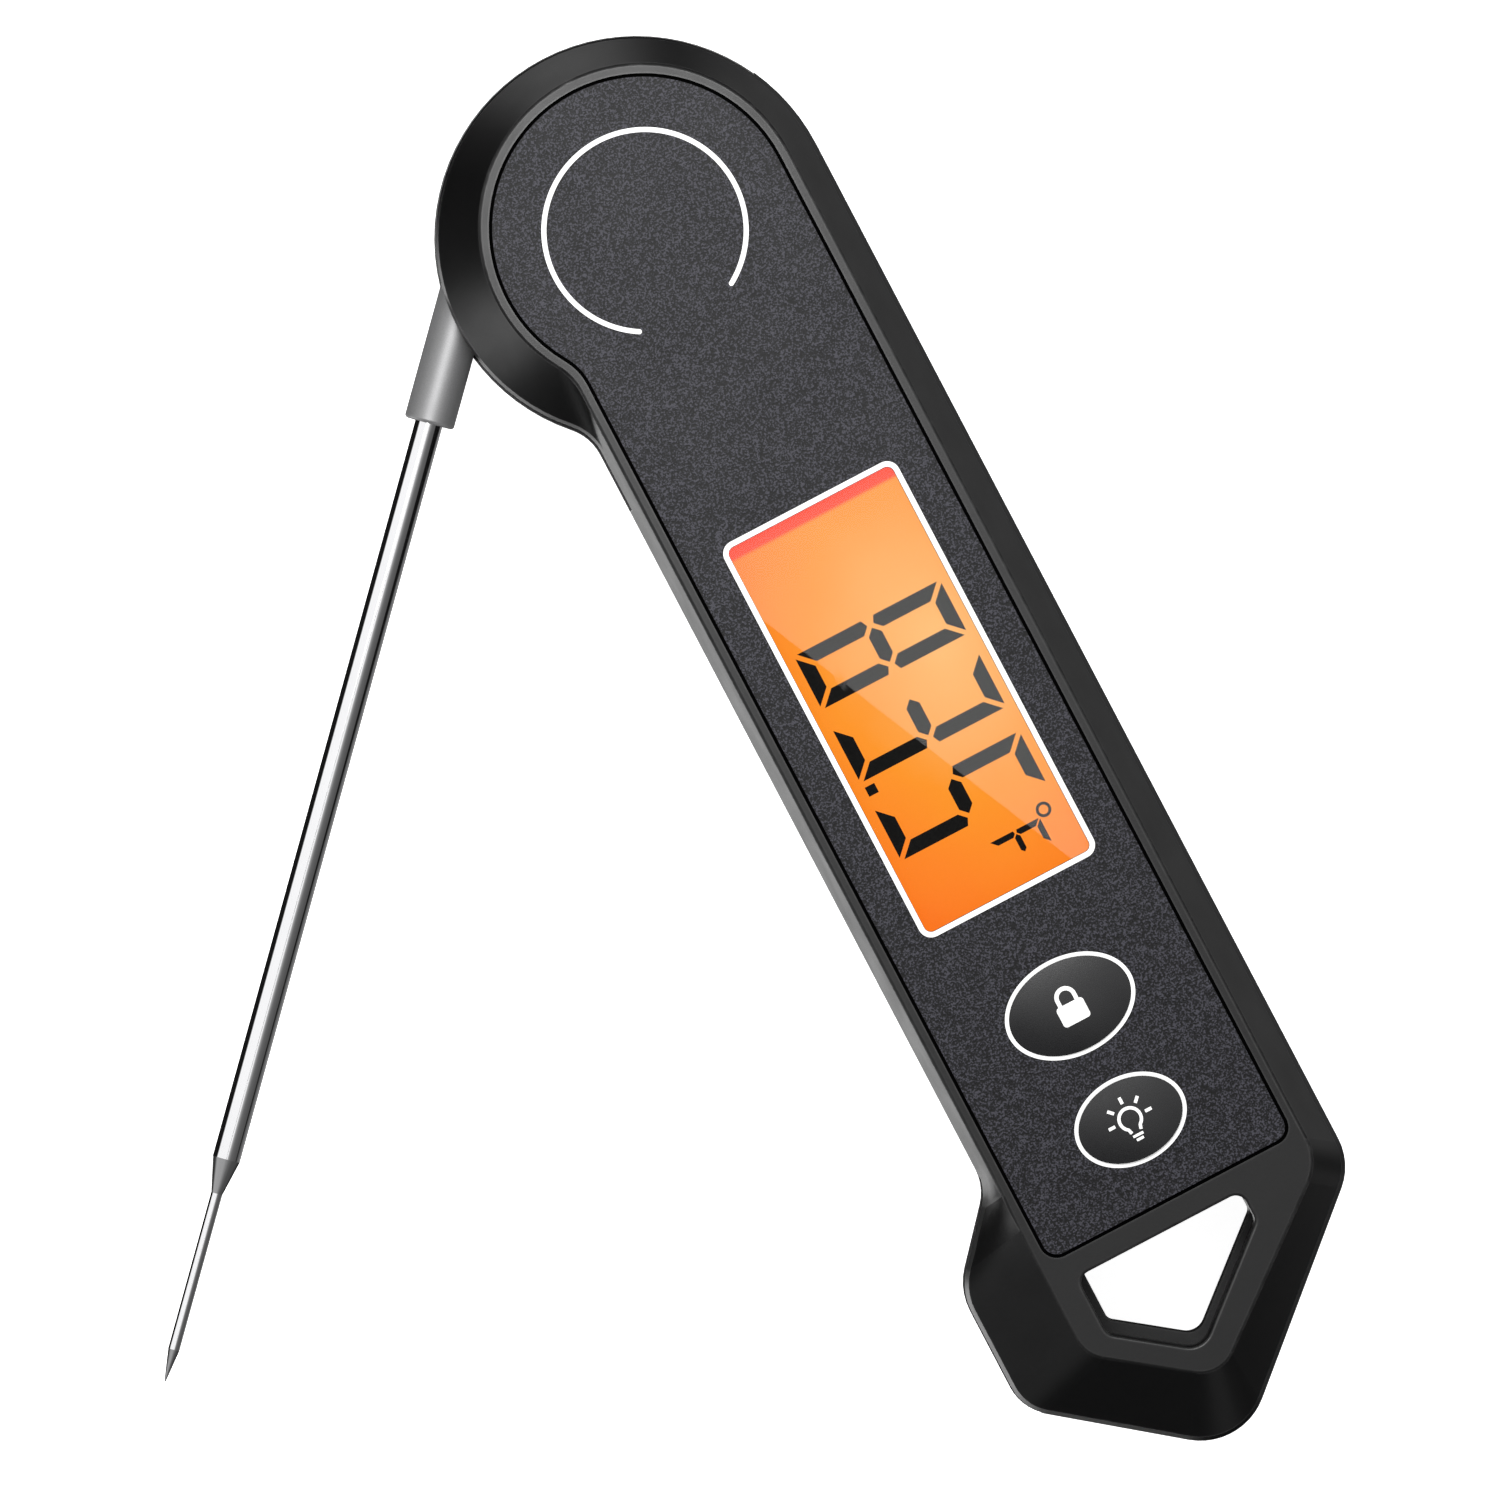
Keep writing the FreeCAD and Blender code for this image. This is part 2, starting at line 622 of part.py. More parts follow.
def circuit_board():
    left, right, tail_end, head_end = BOARD
    board = block(left, right, tail_end, head_end, *BOARD_Z)
    notches = [disc(x, y, SCREW_BOSS_R + 0.4, BOARD_Z[0] - 1, BOARD_Z[1] + 1) for x, y in SCREWS]
    return max(cut_all(board, notches).Solids, key=lambda piece: piece.Volume)


def controller_chip():
    return block(*CHIP, BOARD_Z[0] - CHIP_THICK, BOARD_Z[0])


def wake_switch():
    """A small glass switch on the board, closed by the hub's magnet."""
    x, y = WAKE_SWITCH
    return Part.makeCylinder(WAKE_R, WAKE_LENGTH, Vector(x, y, BOARD_Z[1] + WAKE_R), Vector(1, 0, 0))


# ---------------------------------------------------------------- battery
def battery_cell():
    nub_r, nub_length = NUB
    can = lying(BATTERY_R, BATTERY_X, BATTERY_Z, *BATTERY)
    nub = lying(nub_r, BATTERY_X, BATTERY_Z, BATTERY[1], BATTERY[1] + nub_length)
    return can.fuse(nub).removeSplitter()


def positive_contact():
    start = BATTERY[1] + NUB[1]
    return centred(3.6, start, start + 0.4, 3.4, BOARD_Z[0])


def negative_contact():
    return centred(4.4, BAY[1] + 0.1, BAY[1] + 0.5, 3.4, BOARD_Z[0])


def battery_spring():
    """A bowed leaf between the negative contact and the cell."""
    bow_r, thick, half = 3.5, 0.3, 3.0
    centre = Vector(BATTERY_X - half, BATTERY[0] - TOUCH - bow_r, BATTERY_Z)
    outside = Part.makeCylinder(bow_r, 2 * half, centre, Vector(1, 0, 0))
    inside = Part.makeCylinder(bow_r - thick, 2 * half, centre, Vector(1, 0, 0))
    ahead = centred(half, BAY[1] + 0.5 + TOUCH, BATTERY[0], BATTERY_Z - bow_r, BATTERY_Z + bow_r)
    return outside.cut(inside).common(ahead)


def battery_door():
    """A flat cover with a tab at its head end and a screw at its tail end."""
    across, tail_end, head_end = DOOR
    gap = DOOR_GAP
    middle = (tail_end + head_end) / 2
    outline = rectangle(BATTERY_X, middle, across - 2 * gap, head_end - tail_end - 2 * gap, 1.4)
    low, high = DOOR_Z
    plate = prism(polygon(outline), low, high)
    tab = centred(DOOR_TAB / 2, head_end - 1, head_end + 1.6, 0.9, high)
    wide, narrow = door_seal_wires()
    seal_room = prism(wide, DOOR_SEAL_Z, 2).cut(prism(narrow, DOOR_SEAL_Z, 2))
    head_r, head_high, shank_r = DOOR_SCREW
    shank_room = disc(BATTERY_X, DOOR_SCREW_Y, shank_r + 0.15, 0, 2)
    screw = shank_room.fuse(disc(BATTERY_X, DOOR_SCREW_Y, head_r + 0.15, 0, head_high))
    grip = [centred(5.0, y - 0.3, y + 0.3, 0, 0.35) for y in GRIP_LINES]
    return cut_all(plate.fuse(tab), [seal_room, screw] + grip)


def door_seal_wires():
    across, tail_end, head_end = BAY
    middle = (tail_end + head_end) / 2
    wide = rectangle(BATTERY_X, middle, across + 2.4, head_end - tail_end + 2.4, 1.6)
    narrow = rectangle(BATTERY_X, middle, across + 0.8, head_end - tail_end + 0.8, 0.8)
    return polygon(wide), polygon(narrow)


def door_seal():
    wide, narrow = door_seal_wires()
    return prism(wide, DOOR_SEAL_Z, DOOR_THICK).cut(prism(narrow, DOOR_SEAL_Z, DOOR_THICK))


def door_screw():
    head_r, head_high, shank_r = DOOR_SCREW
    head = disc(BATTERY_X, DOOR_SCREW_Y, head_r, 0.1, head_high)
    slot = centred(1.1, DOOR_SCREW_Y - SLOT_WIDTH / 2, DOOR_SCREW_Y + SLOT_WIDTH / 2, 0, 0.5)
    shank = disc(BATTERY_X, DOOR_SCREW_Y, shank_r, head_high, 6.0)
    return head.cut(slot).fuse(shank).removeSplitter()


def back_magnets():
    low = MAGNET_SETBACK
    return Part.makeCompound([disc(x, y, MAGNET_R, low, low + MAGNET_THICK) for x, y in MAGNETS])


# ---------------------------------------------------------------- hinge
def hub_axle():
    """A hollow pin, open at one side so that the probe's wires can pass in."""
    tube = ring(0, 0, AXLE_BORE, AXLE_R, *AXLE_Z)
    return tube.cut(block(-5, 5, -5, 0, 7.6, 10.4))


def hub_half(z0, z1, floor_z0, floor_z1, o_ring_z):
    """Half of the drum: outer wall, sleeve, one end plate, and half of the collar's seat."""
    drum = disc(0, 0, HUB_R, z0, z1)
    room = ring(0, 0, SLEEVE_R, HUB_R - HUB_WALL, z0 - 1, z1 + 1).cut(disc(0, 0, HUB_R, floor_z0, floor_z1))
    seat = block(-HUB_R, -PROBE_OFFSET + COLLAR_R + HUB_WALL, HUB_SEAT_Y, 1 - COLLAR[0], z0, z1)
    magnet_boss = disc(0, HUB_MAGNET_Y, HUB_MAGNET_R + HUB_MAGNET_WALL, z0, z1)
    room = room.cut(seat).cut(magnet_boss)
    depth, width = O_RING_GROOVE
    groove = disc(0, 0, SLEEVE_BORE + depth, o_ring_z - width / 2, o_ring_z + width / 2)
    cutters = [
        room,
        disc(0, 0, SLEEVE_BORE, z0 - 1, z1 + 1),
        groove,
        along_probe(COLLAR_R + SOCKET_FIT, COLLAR[0], COLLAR[1]),
        along_probe(LEAD_BORE_R, -5.5, COLLAR[0]),
        disc(0, HUB_MAGNET_Y, HUB_MAGNET_R + SOCKET_FIT, *HUB_MAGNET_Z),
    ]
    return cut_all(drum, cutters)


def hub_rear_half():
    low, high = HUB_Z
    return hub_half(low, PARTING_Z, low, low + HUB_FLOOR, O_RING_Z[0])


def hub_front_half():
    low, high = HUB_Z
    return hub_half(PARTING_Z, high, high - HUB_FLOOR, high, O_RING_Z[1])


def hub_magnet():
    low, high = HUB_MAGNET_Z
    return disc(0, HUB_MAGNET_Y, HUB_MAGNET_R, low + TOUCH, high - TOUCH)


def axle_o_rings():
    centre_r = AXLE_R + 0.02 + O_RING
    return Part.makeCompound([Part.makeTorus(centre_r, O_RING, Vector(0, 0, z)) for z in O_RING_Z])


def friction_washer():
    inner, outer, thick = WASHER
    low = POCKET_Z[0] - 0.6
    return ring(0, 0, inner, outer, low, low + thick)


# ---------------------------------------------------------------- probe
def probe_collar():
    sleeve = along_probe(COLLAR_R, *COLLAR)
    rim = [edge for edge in sleeve.Edges if abs(edge.CenterOfMass.y + COLLAR[1]) < TOUCH]
    sleeve = sleeve.makeFillet(0.35, rim)
    bore = along_probe(SHAFT_R + SOCKET_FIT, SHAFT[0], COLLAR[1] + 1)
    return cut_all(sleeve, [bore, along_probe(LEAD_BORE_R, COLLAR[0] - 1, SHAFT[0])])


def probe_shaft():
    return along_probe(SHAFT_R, *SHAFT).cut(along_probe(SHAFT_BORE, *SHAFT))


def probe_tip():
    """The thin end: a tapered shoulder, a narrow length and a ground point."""
    shoulder = along_probe(SHAFT_R, SHAFT[1], TAPER_END, TIP_R)
    narrow = along_probe(TIP_R, TAPER_END, POINT_START)
    point = along_probe(TIP_R, POINT_START, POINT_END, 0.08)
    bore = along_probe(TIP_BORE, SHAFT[1], SENSOR[1] + 0.1)
    return shoulder.fuse([narrow, point]).removeSplitter().cut(bore)


def temperature_sensor():
    return along_probe(TIP_BORE - SOCKET_FIT, *SENSOR)


def probe_lead():
    """The wires: up the probe, round a bend in the hub, and half round the sleeve as a slack turn."""
    bend = 3.0
    turn_y = -COLLAR[0] + 1.0
    start = Vector(-PROBE_OFFSET, -SHAFT[0], PROBE_Z)
    foot = Vector(-PROBE_OFFSET, turn_y, PROBE_Z)
    slant = bend * (1 - math.sqrt(0.5))
    after = Vector(-PROBE_OFFSET + bend, turn_y + bend, PROBE_Z)
    middle = Vector(-PROBE_OFFSET + slant, turn_y + bend * math.sqrt(0.5), PROBE_Z)
    over = Vector(0, SERVICE_LOOP_R, PROBE_Z)
    right = Vector(SERVICE_LOOP_R, 0, PROBE_Z)
    under = Vector(0, -SERVICE_LOOP_R, PROBE_Z)
    path = Part.Wire(
        [
            Part.LineSegment(start, foot).toShape(),
            Part.Arc(foot, middle, after).toShape(),
            Part.LineSegment(after, over).toShape(),
            Part.Arc(over, right, under).toShape(),
        ]
    )
    section = Part.Wire([Part.makeCircle(LEAD_R, start, Vector(0, 1, 0))])
    thick = path.makePipeShell([section], True, True)
    thin = along_probe(THIN_LEAD_R, SHAFT[0], SENSOR[0])
    return thick.fuse(thin)


def board_lead():
    """The wires: up the hollow axle, over the wall of the head, and down to the board."""
    level = AXLE_Z[1] + 1.0
    bend = 1.6
    slant = bend * (1 - math.sqrt(0.5))
    landing = -24.4
    start = Vector(0, 0, 9.5)
    path = Part.Wire(
        [
            Part.LineSegment(start, Vector(0, 0, level - bend)).toShape(),
            Part.Arc(
                Vector(0, 0, level - bend),
                Vector(0, -slant, level - slant),
                Vector(0, -bend, level),
            ).toShape(),
            Part.LineSegment(Vector(0, -bend, level), Vector(0, landing + bend, level)).toShape(),
            Part.Arc(
                Vector(0, landing + bend, level),
                Vector(0, landing + slant, level - slant),
                Vector(0, landing, level - bend),
            ).toShape(),
            Part.LineSegment(Vector(0, landing, level - bend), Vector(0, landing, BOARD_Z[1])).toShape(),
        ]
    )
    section = Part.Wire([Part.makeCircle(LEAD_R, start, Vector(0, 0, 1))])
    return path.makePipeShell([section], True, True)


# ---------------------------------------------------------------- the whole object
FIXED = {
    "front_shell": front_shell,
    "rear_shell": rear_shell,
    "case_seal": case_seal,
    "case_screws": case_screws,
    "face_overlay": face_overlay,
    "display_lens": display_lens,
    "display_frame": display_frame,
    "lcd_glass": lcd_glass,
    "backlight_panel": backlight_panel,
    "backlight_lamps": backlight_lamps,
    "lcd_connector": lcd_connector,
    "circuit_board": circuit_board,
    "controller_chip": controller_chip,
    "wake_switch": wake_switch,
    "battery_cell": battery_cell,
    "positive_contact": positive_contact,
    "negative_contact": negative_contact,
    "battery_spring": battery_spring,
    "battery_door": battery_door,
    "door_seal": door_seal,
    "door_screw": door_screw,
    "back_magnets": back_magnets,
    "hub_axle": hub_axle,
    "board_lead": board_lead,
    "friction_washer": friction_washer,
}
FOLDING = {
    "hub_rear_half": hub_rear_half,
    "hub_front_half": hub_front_half,
    "hub_magnet": hub_magnet,
    "axle_o_rings": axle_o_rings,
    "probe_collar": probe_collar,
    "probe_shaft": probe_shaft,
    "probe_tip": probe_tip,
    "temperature_sensor": temperature_sensor,
    "probe_lead": probe_lead,
}


def main():
    os.makedirs("parts", exist_ok=True)
    solids = {name: make() for name, make in FIXED.items()}
    solids.update({name: to_rest(make()) for name, make in FOLDING.items()})
    for name, key in KEYS.items():
        solids[name + "_button"] = key_cap(key)
        solids[name + "_switch"] = key_switch(key)
        solids[name + "_plunger"] = key_plunger(key)
    for name, solid in solids.items():
        print(name, "valid" if solid.isValid() else "NOT VALID", len(solid.Solids), round(solid.Volume, 2))
        solid.exportStep(os.path.join("parts", name + ".step"))


main()
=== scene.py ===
import json
import math

import bpy
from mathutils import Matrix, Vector


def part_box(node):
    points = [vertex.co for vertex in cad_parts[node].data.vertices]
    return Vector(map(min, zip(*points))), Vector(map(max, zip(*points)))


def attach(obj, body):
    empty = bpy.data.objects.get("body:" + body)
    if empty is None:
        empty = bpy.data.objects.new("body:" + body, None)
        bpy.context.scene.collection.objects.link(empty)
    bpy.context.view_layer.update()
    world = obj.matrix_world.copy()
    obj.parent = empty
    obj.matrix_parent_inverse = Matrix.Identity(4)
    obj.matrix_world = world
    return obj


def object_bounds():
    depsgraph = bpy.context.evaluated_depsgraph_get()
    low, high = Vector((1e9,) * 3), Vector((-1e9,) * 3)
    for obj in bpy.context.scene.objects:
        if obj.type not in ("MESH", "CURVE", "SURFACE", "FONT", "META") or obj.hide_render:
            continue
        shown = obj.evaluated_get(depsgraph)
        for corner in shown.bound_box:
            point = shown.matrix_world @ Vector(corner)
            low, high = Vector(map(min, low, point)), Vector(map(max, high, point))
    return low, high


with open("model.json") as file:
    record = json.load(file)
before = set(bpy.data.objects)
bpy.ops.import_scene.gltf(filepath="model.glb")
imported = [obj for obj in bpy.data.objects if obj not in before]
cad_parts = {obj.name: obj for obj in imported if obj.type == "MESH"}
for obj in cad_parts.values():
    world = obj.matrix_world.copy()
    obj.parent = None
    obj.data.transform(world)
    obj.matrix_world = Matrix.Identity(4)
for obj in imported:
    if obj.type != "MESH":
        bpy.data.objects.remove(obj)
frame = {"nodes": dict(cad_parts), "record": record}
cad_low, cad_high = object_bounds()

# A folding probe thermometer on a pale floor. Metres, in the frame of the CAD model: +Z out of the face,
# +Y from the tail to the head, +X to the reader's right.
MM = 0.001

# ---------------------------------------------------------------- places, taken from the frame
overlay_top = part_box("face_overlay")[1].z
lens_low, lens_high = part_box("display_lens")
lcd_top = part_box("lcd_glass")[1].z

INK = 0.03 * MM  # how thick a printed line lies
RING_R = 9.89 * MM
RING_LINE = 0.49 * MM
RING_CENTRE = Vector((1.0, 0.0, 0)) * MM
RING_GAP = 30.9  # half of the open part, in degrees
BORDER_LINE = 0.53 * MM
BORDER_ROUND = 1.3 * MM
KEY_LINE = 0.40 * MM
KEY_LINE_OUT = 0.23 * MM  # from the key's edge to the middle of its printed outline
KEY_FLANGE = 0.8 * MM  # round a key, under the overlay
GAP = 0.35 * MM  # round the overlay
SHADE_SHEET_SLACK = 0.02 * MM  # how much narrower than the gap the dark sheet of painted shade in it is
SHADE_SHEET_THICK = 0.12 * MM

# The camera looks straight down on the face, turned so that the head is up and to the left.
VIEW_CENTRE = Vector((-13.51, -49.71, 0)) * MM
VIEW_DISTANCE = 2.5
VIEW_WIDTH = 146.59 * MM
VIEW_TURN = 27.7
SENSOR = 36  # the camera's, in its own millimetres


# ---------------------------------------------------------------- node helpers
def put(tree, socket, value):
    """Sets a socket to a value, or links it to another socket."""
    if isinstance(value, bpy.types.NodeSocket):
        tree.links.new(value, socket)
    else:
        socket.default_value = value


def add(tree, kind, **inputs):
    """A new node. Inputs are named as the node names them, with _ for a space."""
    made = tree.nodes.new(kind)
    for name, value in inputs.items():
        put(tree, made.inputs[name.replace("_", " ")], value)
    return made


def calc(tree, operation, a, b=0.0, clamp=False):
    made = tree.nodes.new("ShaderNodeMath")
    made.operation = operation
    made.use_clamp = clamp
    put(tree, made.inputs[0], a)
    put(tree, made.inputs[1], b)
    return made.outputs[0]


def dot(tree, a, b):
    made = tree.nodes.new("ShaderNodeVectorMath")
    made.operation = "DOT_PRODUCT"
    put(tree, made.inputs[0], a)
    put(tree, made.inputs[1], b)
    return made.outputs["Value"]


def blend(tree, factor, a, b):
    """A colour between a and b."""
    made = tree.nodes.new("ShaderNodeMix")
    made.data_type = "RGBA"
    put(tree, made.inputs["Factor"], factor)
    put(tree, made.inputs["A"], a)
    put(tree, made.inputs["B"], b)
    return made.outputs["Result"]


def ramp(tree, factor, stops):
    """A colour ramp through (position, colour) stops."""
    made = tree.nodes.new("ShaderNodeValToRGB")
    elements = made.color_ramp.elements
    elements[0].position, elements[0].color = stops[0]
    elements[1].position, elements[1].color = stops[-1]
    for position, shade in stops[1:-1]:
        elements.new(position).color = shade
    put(tree, made.inputs["Fac"], factor)
    return made.outputs["Color"]


def step(tree, value, low, high):
    """0 below low, 1 above high, smooth between."""
    made = tree.nodes.new("ShaderNodeMapRange")
    made.interpolation_type = "SMOOTHSTEP"
    put(tree, made.inputs["Value"], value)
    made.inputs["From Min"].default_value = low
    made.inputs["From Max"].default_value = high
    return made.outputs["Result"]


def place(tree):
    """Where a point is on the part, in metres."""
    return tree.nodes.new("ShaderNodeTexCoord").outputs["Object"]


def axes(tree):
    """The same, as three numbers."""
    return add(tree, "ShaderNodeSeparateXYZ", Vector=place(tree)).outputs


def noise(tree, size, detail=2.0, stretch=(1, 1, 1)):
    """Noise with features of about that size, drawn out where stretch is small."""
    scaled = add(tree, "ShaderNodeMapping", Vector=place(tree))
    scaled.inputs["Scale"].default_value = [s / size for s in stretch]
    made = add(tree, "ShaderNodeTexNoise", Vector=scaled.outputs["Vector"], Scale=1.0, Detail=detail)
    return made.outputs["Fac"]


EDGE_WIDTH = 0.25 * MM
EDGE_SAMPLES = 4
EDGE_GAIN = 60.0  # how soon a turned normal counts as an edge; set high so that edges show as painted highlight lines


def edges(tree):
    """1 along the part's edges, 0 away from them."""
    rounded = tree.nodes.new("ShaderNodeBevel")
    rounded.samples = EDGE_SAMPLES
    rounded.inputs["Radius"].default_value = EDGE_WIDTH
    true_normal = tree.nodes.new("ShaderNodeNewGeometry").outputs["Normal"]
    turned = calc(tree, "SUBTRACT", 1.0, dot(tree, rounded.outputs["Normal"], true_normal))
    return calc(tree, "MULTIPLY", turned, EDGE_GAIN, clamp=True)


def grey(value):
    return (value, value, value, 1)


def colour(frame_shadow_red, green, blue):
    return (frame_shadow_red, green, blue, 1)


def scaled_colour(tint, factor):
    return (tint[0] * factor, tint[1] * factor, tint[2] * factor, 1)


def blank(name):
    material = bpy.data.materials.new(name)
    material.use_nodes = True
    tree = material.node_tree
    return material, tree, tree.nodes["Principled BSDF"]


# What the common surface is mixed from.
BROAD_SIZE = 40  # the broad unevenness and the rubbed patches are this many times coarser than the grain
RUBBED_SIZE = 12
BROAD_SHADE, BROAD_SHARE = 0.6, 0.2  # how dark the broad patches are, and how much they count
FINE_ROUGH, BROAD_ROUGH = 0.12, 0.10  # how far each noise changes the roughness
PALER = 2.2  # edges, paler from use and from a painted highlight, against the tint
POLISHED = 0.2  # how much less rough they are


def finish(
    name, tint, rough, grain, relief, contrast=0.25, wear_and_highlight=0.3, metal=0.0, stretch=(1, 1, 1), wear_and_highlight_colour=None
):
    """The common surface: grain in colour, gloss and relief, broad unevenness, and paler, smoother edges,
    partly from use and partly a painted highlight along them.
    grain is the size of its features, relief their height, and wear_and_highlight_colour the colour of those
    edges."""
    material, tree, shader = blank(name)
    fine = noise(tree, grain, 3.0, stretch)
    broad = noise(tree, grain * BROAD_SIZE)
    dark, pale = scaled_colour(tint, 1 - contrast), scaled_colour(tint, 1 + contrast)
    grained = ramp(tree, fine, [(0.3, dark), (0.7, pale)])
    shaded = calc(tree, "MULTIPLY", broad, BROAD_SHARE)
    uneven = blend(tree, shaded, grained, scaled_colour(tint, BROAD_SHADE))
    # Edges get paler and smoother: partly use, partly a painted highlight along each edge.
    edge = calc(tree, "MULTIPLY", edges(tree), wear_and_highlight)
    wear_and_highlight_mask = calc(tree, "MULTIPLY", edge, noise(tree, grain * RUBBED_SIZE, 4.0))
    put(tree, shader.inputs["Base Color"], blend(tree, wear_and_highlight_mask, uneven, wear_and_highlight_colour or scaled_colour(tint, PALER)))
    by_fine = calc(tree, "MULTIPLY", fine, FINE_ROUGH)
    by_broad = calc(tree, "MULTIPLY", broad, BROAD_ROUGH)
    lowest = rough - (FINE_ROUGH + BROAD_ROUGH) / 2
    dulled = calc(tree, "ADD", lowest, calc(tree, "ADD", by_fine, by_broad))
    polish = calc(tree, "MULTIPLY", wear_and_highlight_mask, POLISHED)
    put(tree, shader.inputs["Roughness"], calc(tree, "SUBTRACT", dulled, polish, clamp=True))
    shader.inputs["Metallic"].default_value = metal
    raise_by(tree, shader, fine, relief)
    return material, tree, shader


def raise_by(tree, shader, pattern, relief):
    """Gives a surface relief of that height after a pattern."""
    raised = add(tree, "ShaderNodeBump", Height=pattern, Distance=relief, Strength=1.0)
    put(tree, shader.inputs["Normal"], raised.outputs["Normal"])


# ---------------------------------------------------------------- materials
# Surfaces that are the common one and nothing more.
PLAIN = {
    "hub_black": dict(tint=(0.012, 0.012, 0.013), rough=0.34, grain=0.25 * MM, relief=0.002 * MM),
    "key_black": dict(tint=(0.004, 0.004, 0.005), rough=0.27, grain=0.12 * MM, relief=0.003 * MM, wear_and_highlight=0.25),
    "silicone_black": dict(tint=(0.016, 0.016, 0.016), rough=0.7, grain=0.2 * MM, relief=0.004 * MM),
    "switch_black": dict(tint=(0.012, 0.012, 0.012), rough=0.3, grain=0.15 * MM, relief=0.002 * MM),
    "chip_black": dict(tint=(0.02, 0.02, 0.021), rough=0.6, grain=0.12 * MM, relief=0.005 * MM),
    "sensor_bead": dict(tint=(0.30, 0.16, 0.08), rough=0.4, grain=0.2 * MM, relief=0.004 * MM),
    "frame_white": dict(
        tint=(0.72, 0.72, 0.70), rough=0.45, grain=0.2 * MM, relief=0.003 * MM, contrast=0.05, wear_and_highlight_colour=grey(0.5)
    ),
    "print_white": dict(
        tint=(0.86, 0.86, 0.85), rough=0.5, grain=0.12 * MM, relief=0.004 * MM, contrast=0.05, wear_and_highlight=0.0
    ),
    "lead_white": dict(
        tint=(0.75, 0.75, 0.72), rough=0.45, grain=0.3 * MM, relief=0.004 * MM, contrast=0.06, wear_and_highlight=0.0
    ),
    "collar_satin": dict(
        tint=(0.28, 0.28, 0.283), rough=0.48, grain=0.10 * MM, relief=0.002 * MM, contrast=0.10, wear_and_highlight=0.6,
        metal=0.7,
    ),
}

# Metals with fine parallel scratches, drawn out along the axes where stretch is small.
SCRATCHED = {
    "spring_steel": dict(tint=(0.60, 0.59, 0.56), rough=0.28, stretch=(1, 0.05, 1)),
    "screw_steel": dict(tint=(0.50, 0.50, 0.51), rough=0.30, stretch=(1, 0.2, 1)),
    "nickel_plate": dict(tint=(0.62, 0.60, 0.56), rough=0.22, stretch=(0.3, 1, 1)),
}
SCRATCHES = dict(grain=0.12 * MM, relief=0.001 * MM, contrast=0.12, wear_and_highlight=0.5, metal=1.0, wear_and_highlight_colour=grey(0.85))


def casing_black():
    """Moulded plastic with a fine spark-eroded texture. Its edges are paler: partly from use, partly a painted
    highlight line along each edge.
    """
    tint = (0.0018, 0.0018, 0.0020)
    # The pale edge colour and strong edge share paint highlight lines along the casing's edges, on top of use.
    look = dict(rough=0.38, grain=0.12 * MM, relief=0.006 * MM, wear_and_highlight=0.8, wear_and_highlight_colour=grey(0.06))
    material, _, shader = finish("casing_black", tint, **look)
    shader.inputs["Specular IOR Level"].default_value = 0.42
    return material


def overlay_charcoal():
    """A polycarbonate label with a sandy print: pale and dark specks over charcoal."""
    speck_size, patch_size, cloud_size = 0.17 * MM, 0.5 * MM, 9 * MM
    speck_share, relief = 0.9, 0.036 * MM
    lowest_rough, cloud_rough = 0.42, 0.1
    dark, charcoal = colour(0.0003, 0.0003, 0.0008), colour(0.0025, 0.0025, 0.0045)
    pale = colour(0.036, 0.0355, 0.046)
    material, tree, shader = blank("overlay_charcoal")
    specks = calc(tree, "MULTIPLY", noise(tree, speck_size, 1.5), speck_share)
    patches = calc(tree, "MULTIPLY", noise(tree, patch_size, 1.0), 1 - speck_share)
    mixed = calc(tree, "ADD", specks, patches)
    put(tree, shader.inputs["Base Color"], ramp(tree, mixed, [(0.40, dark), (0.5, charcoal), (0.60, pale)]))
    uneven = calc(tree, "MULTIPLY", noise(tree, cloud_size), cloud_rough)
    put(tree, shader.inputs["Roughness"], calc(tree, "ADD", uneven, lowest_rough))
    shader.inputs["Specular IOR Level"].default_value = 0.24
    raise_by(tree, shader, mixed, relief)
    return material


def clear_lens():
    """A clear acrylic window: what lies behind it shows, with a clean reflection and faint smears."""
    smear_size, smear_range, smear_rough, acrylic_ior = 3 * MM, (0.62, 0.8), 0.05, 1.49
    material, tree, shader = blank("clear_lens")
    tree.nodes.remove(shader)
    smears = step(tree, noise(tree, smear_size, 4.0, (1, 0.4, 1)), *smear_range)
    gloss = add(tree, "ShaderNodeBsdfGlossy", Color=grey(1.0))
    put(tree, gloss.inputs["Roughness"], calc(tree, "MULTIPLY", smears, smear_rough))
    clear = add(tree, "ShaderNodeBsdfTransparent", Color=colour(0.985, 0.985, 0.98))
    # Only the outside mirrors: from within, the sheet would turn into a full mirror at low angles.
    outside = calc(tree, "SUBTRACT", 1.0, tree.nodes.new("ShaderNodeNewGeometry").outputs["Backfacing"])
    mirror = calc(tree, "MULTIPLY", add(tree, "ShaderNodeFresnel", IOR=acrylic_ior).outputs["Fac"], outside)
    mixed = add(tree, "ShaderNodeMixShader", Fac=mirror)
    put(tree, mixed.inputs[1], clear.outputs[0])
    put(tree, mixed.inputs[2], gloss.outputs[0])
    put(tree, tree.nodes["Material Output"].inputs["Surface"], mixed.outputs[0])
    return material


LAMP_SPOT = Vector((7.5, -49, 0)) * MM  # where the display is palest
LAMP_REACH = 29 * MM
LAMP_SQUASH = 1.4  # the pale spot is narrower across than along
LAMP_LEVEL, LAMP_UNEVEN = 0.96, 0.16
FRAME_SHADE = 1.75 * MM  # depth of the frame's painted shadow, a redder strip at the head end of the window
FRAME_SHADE_EDGE = (0.3 * MM, 0.2 * MM)  # how far its edge fades to each side


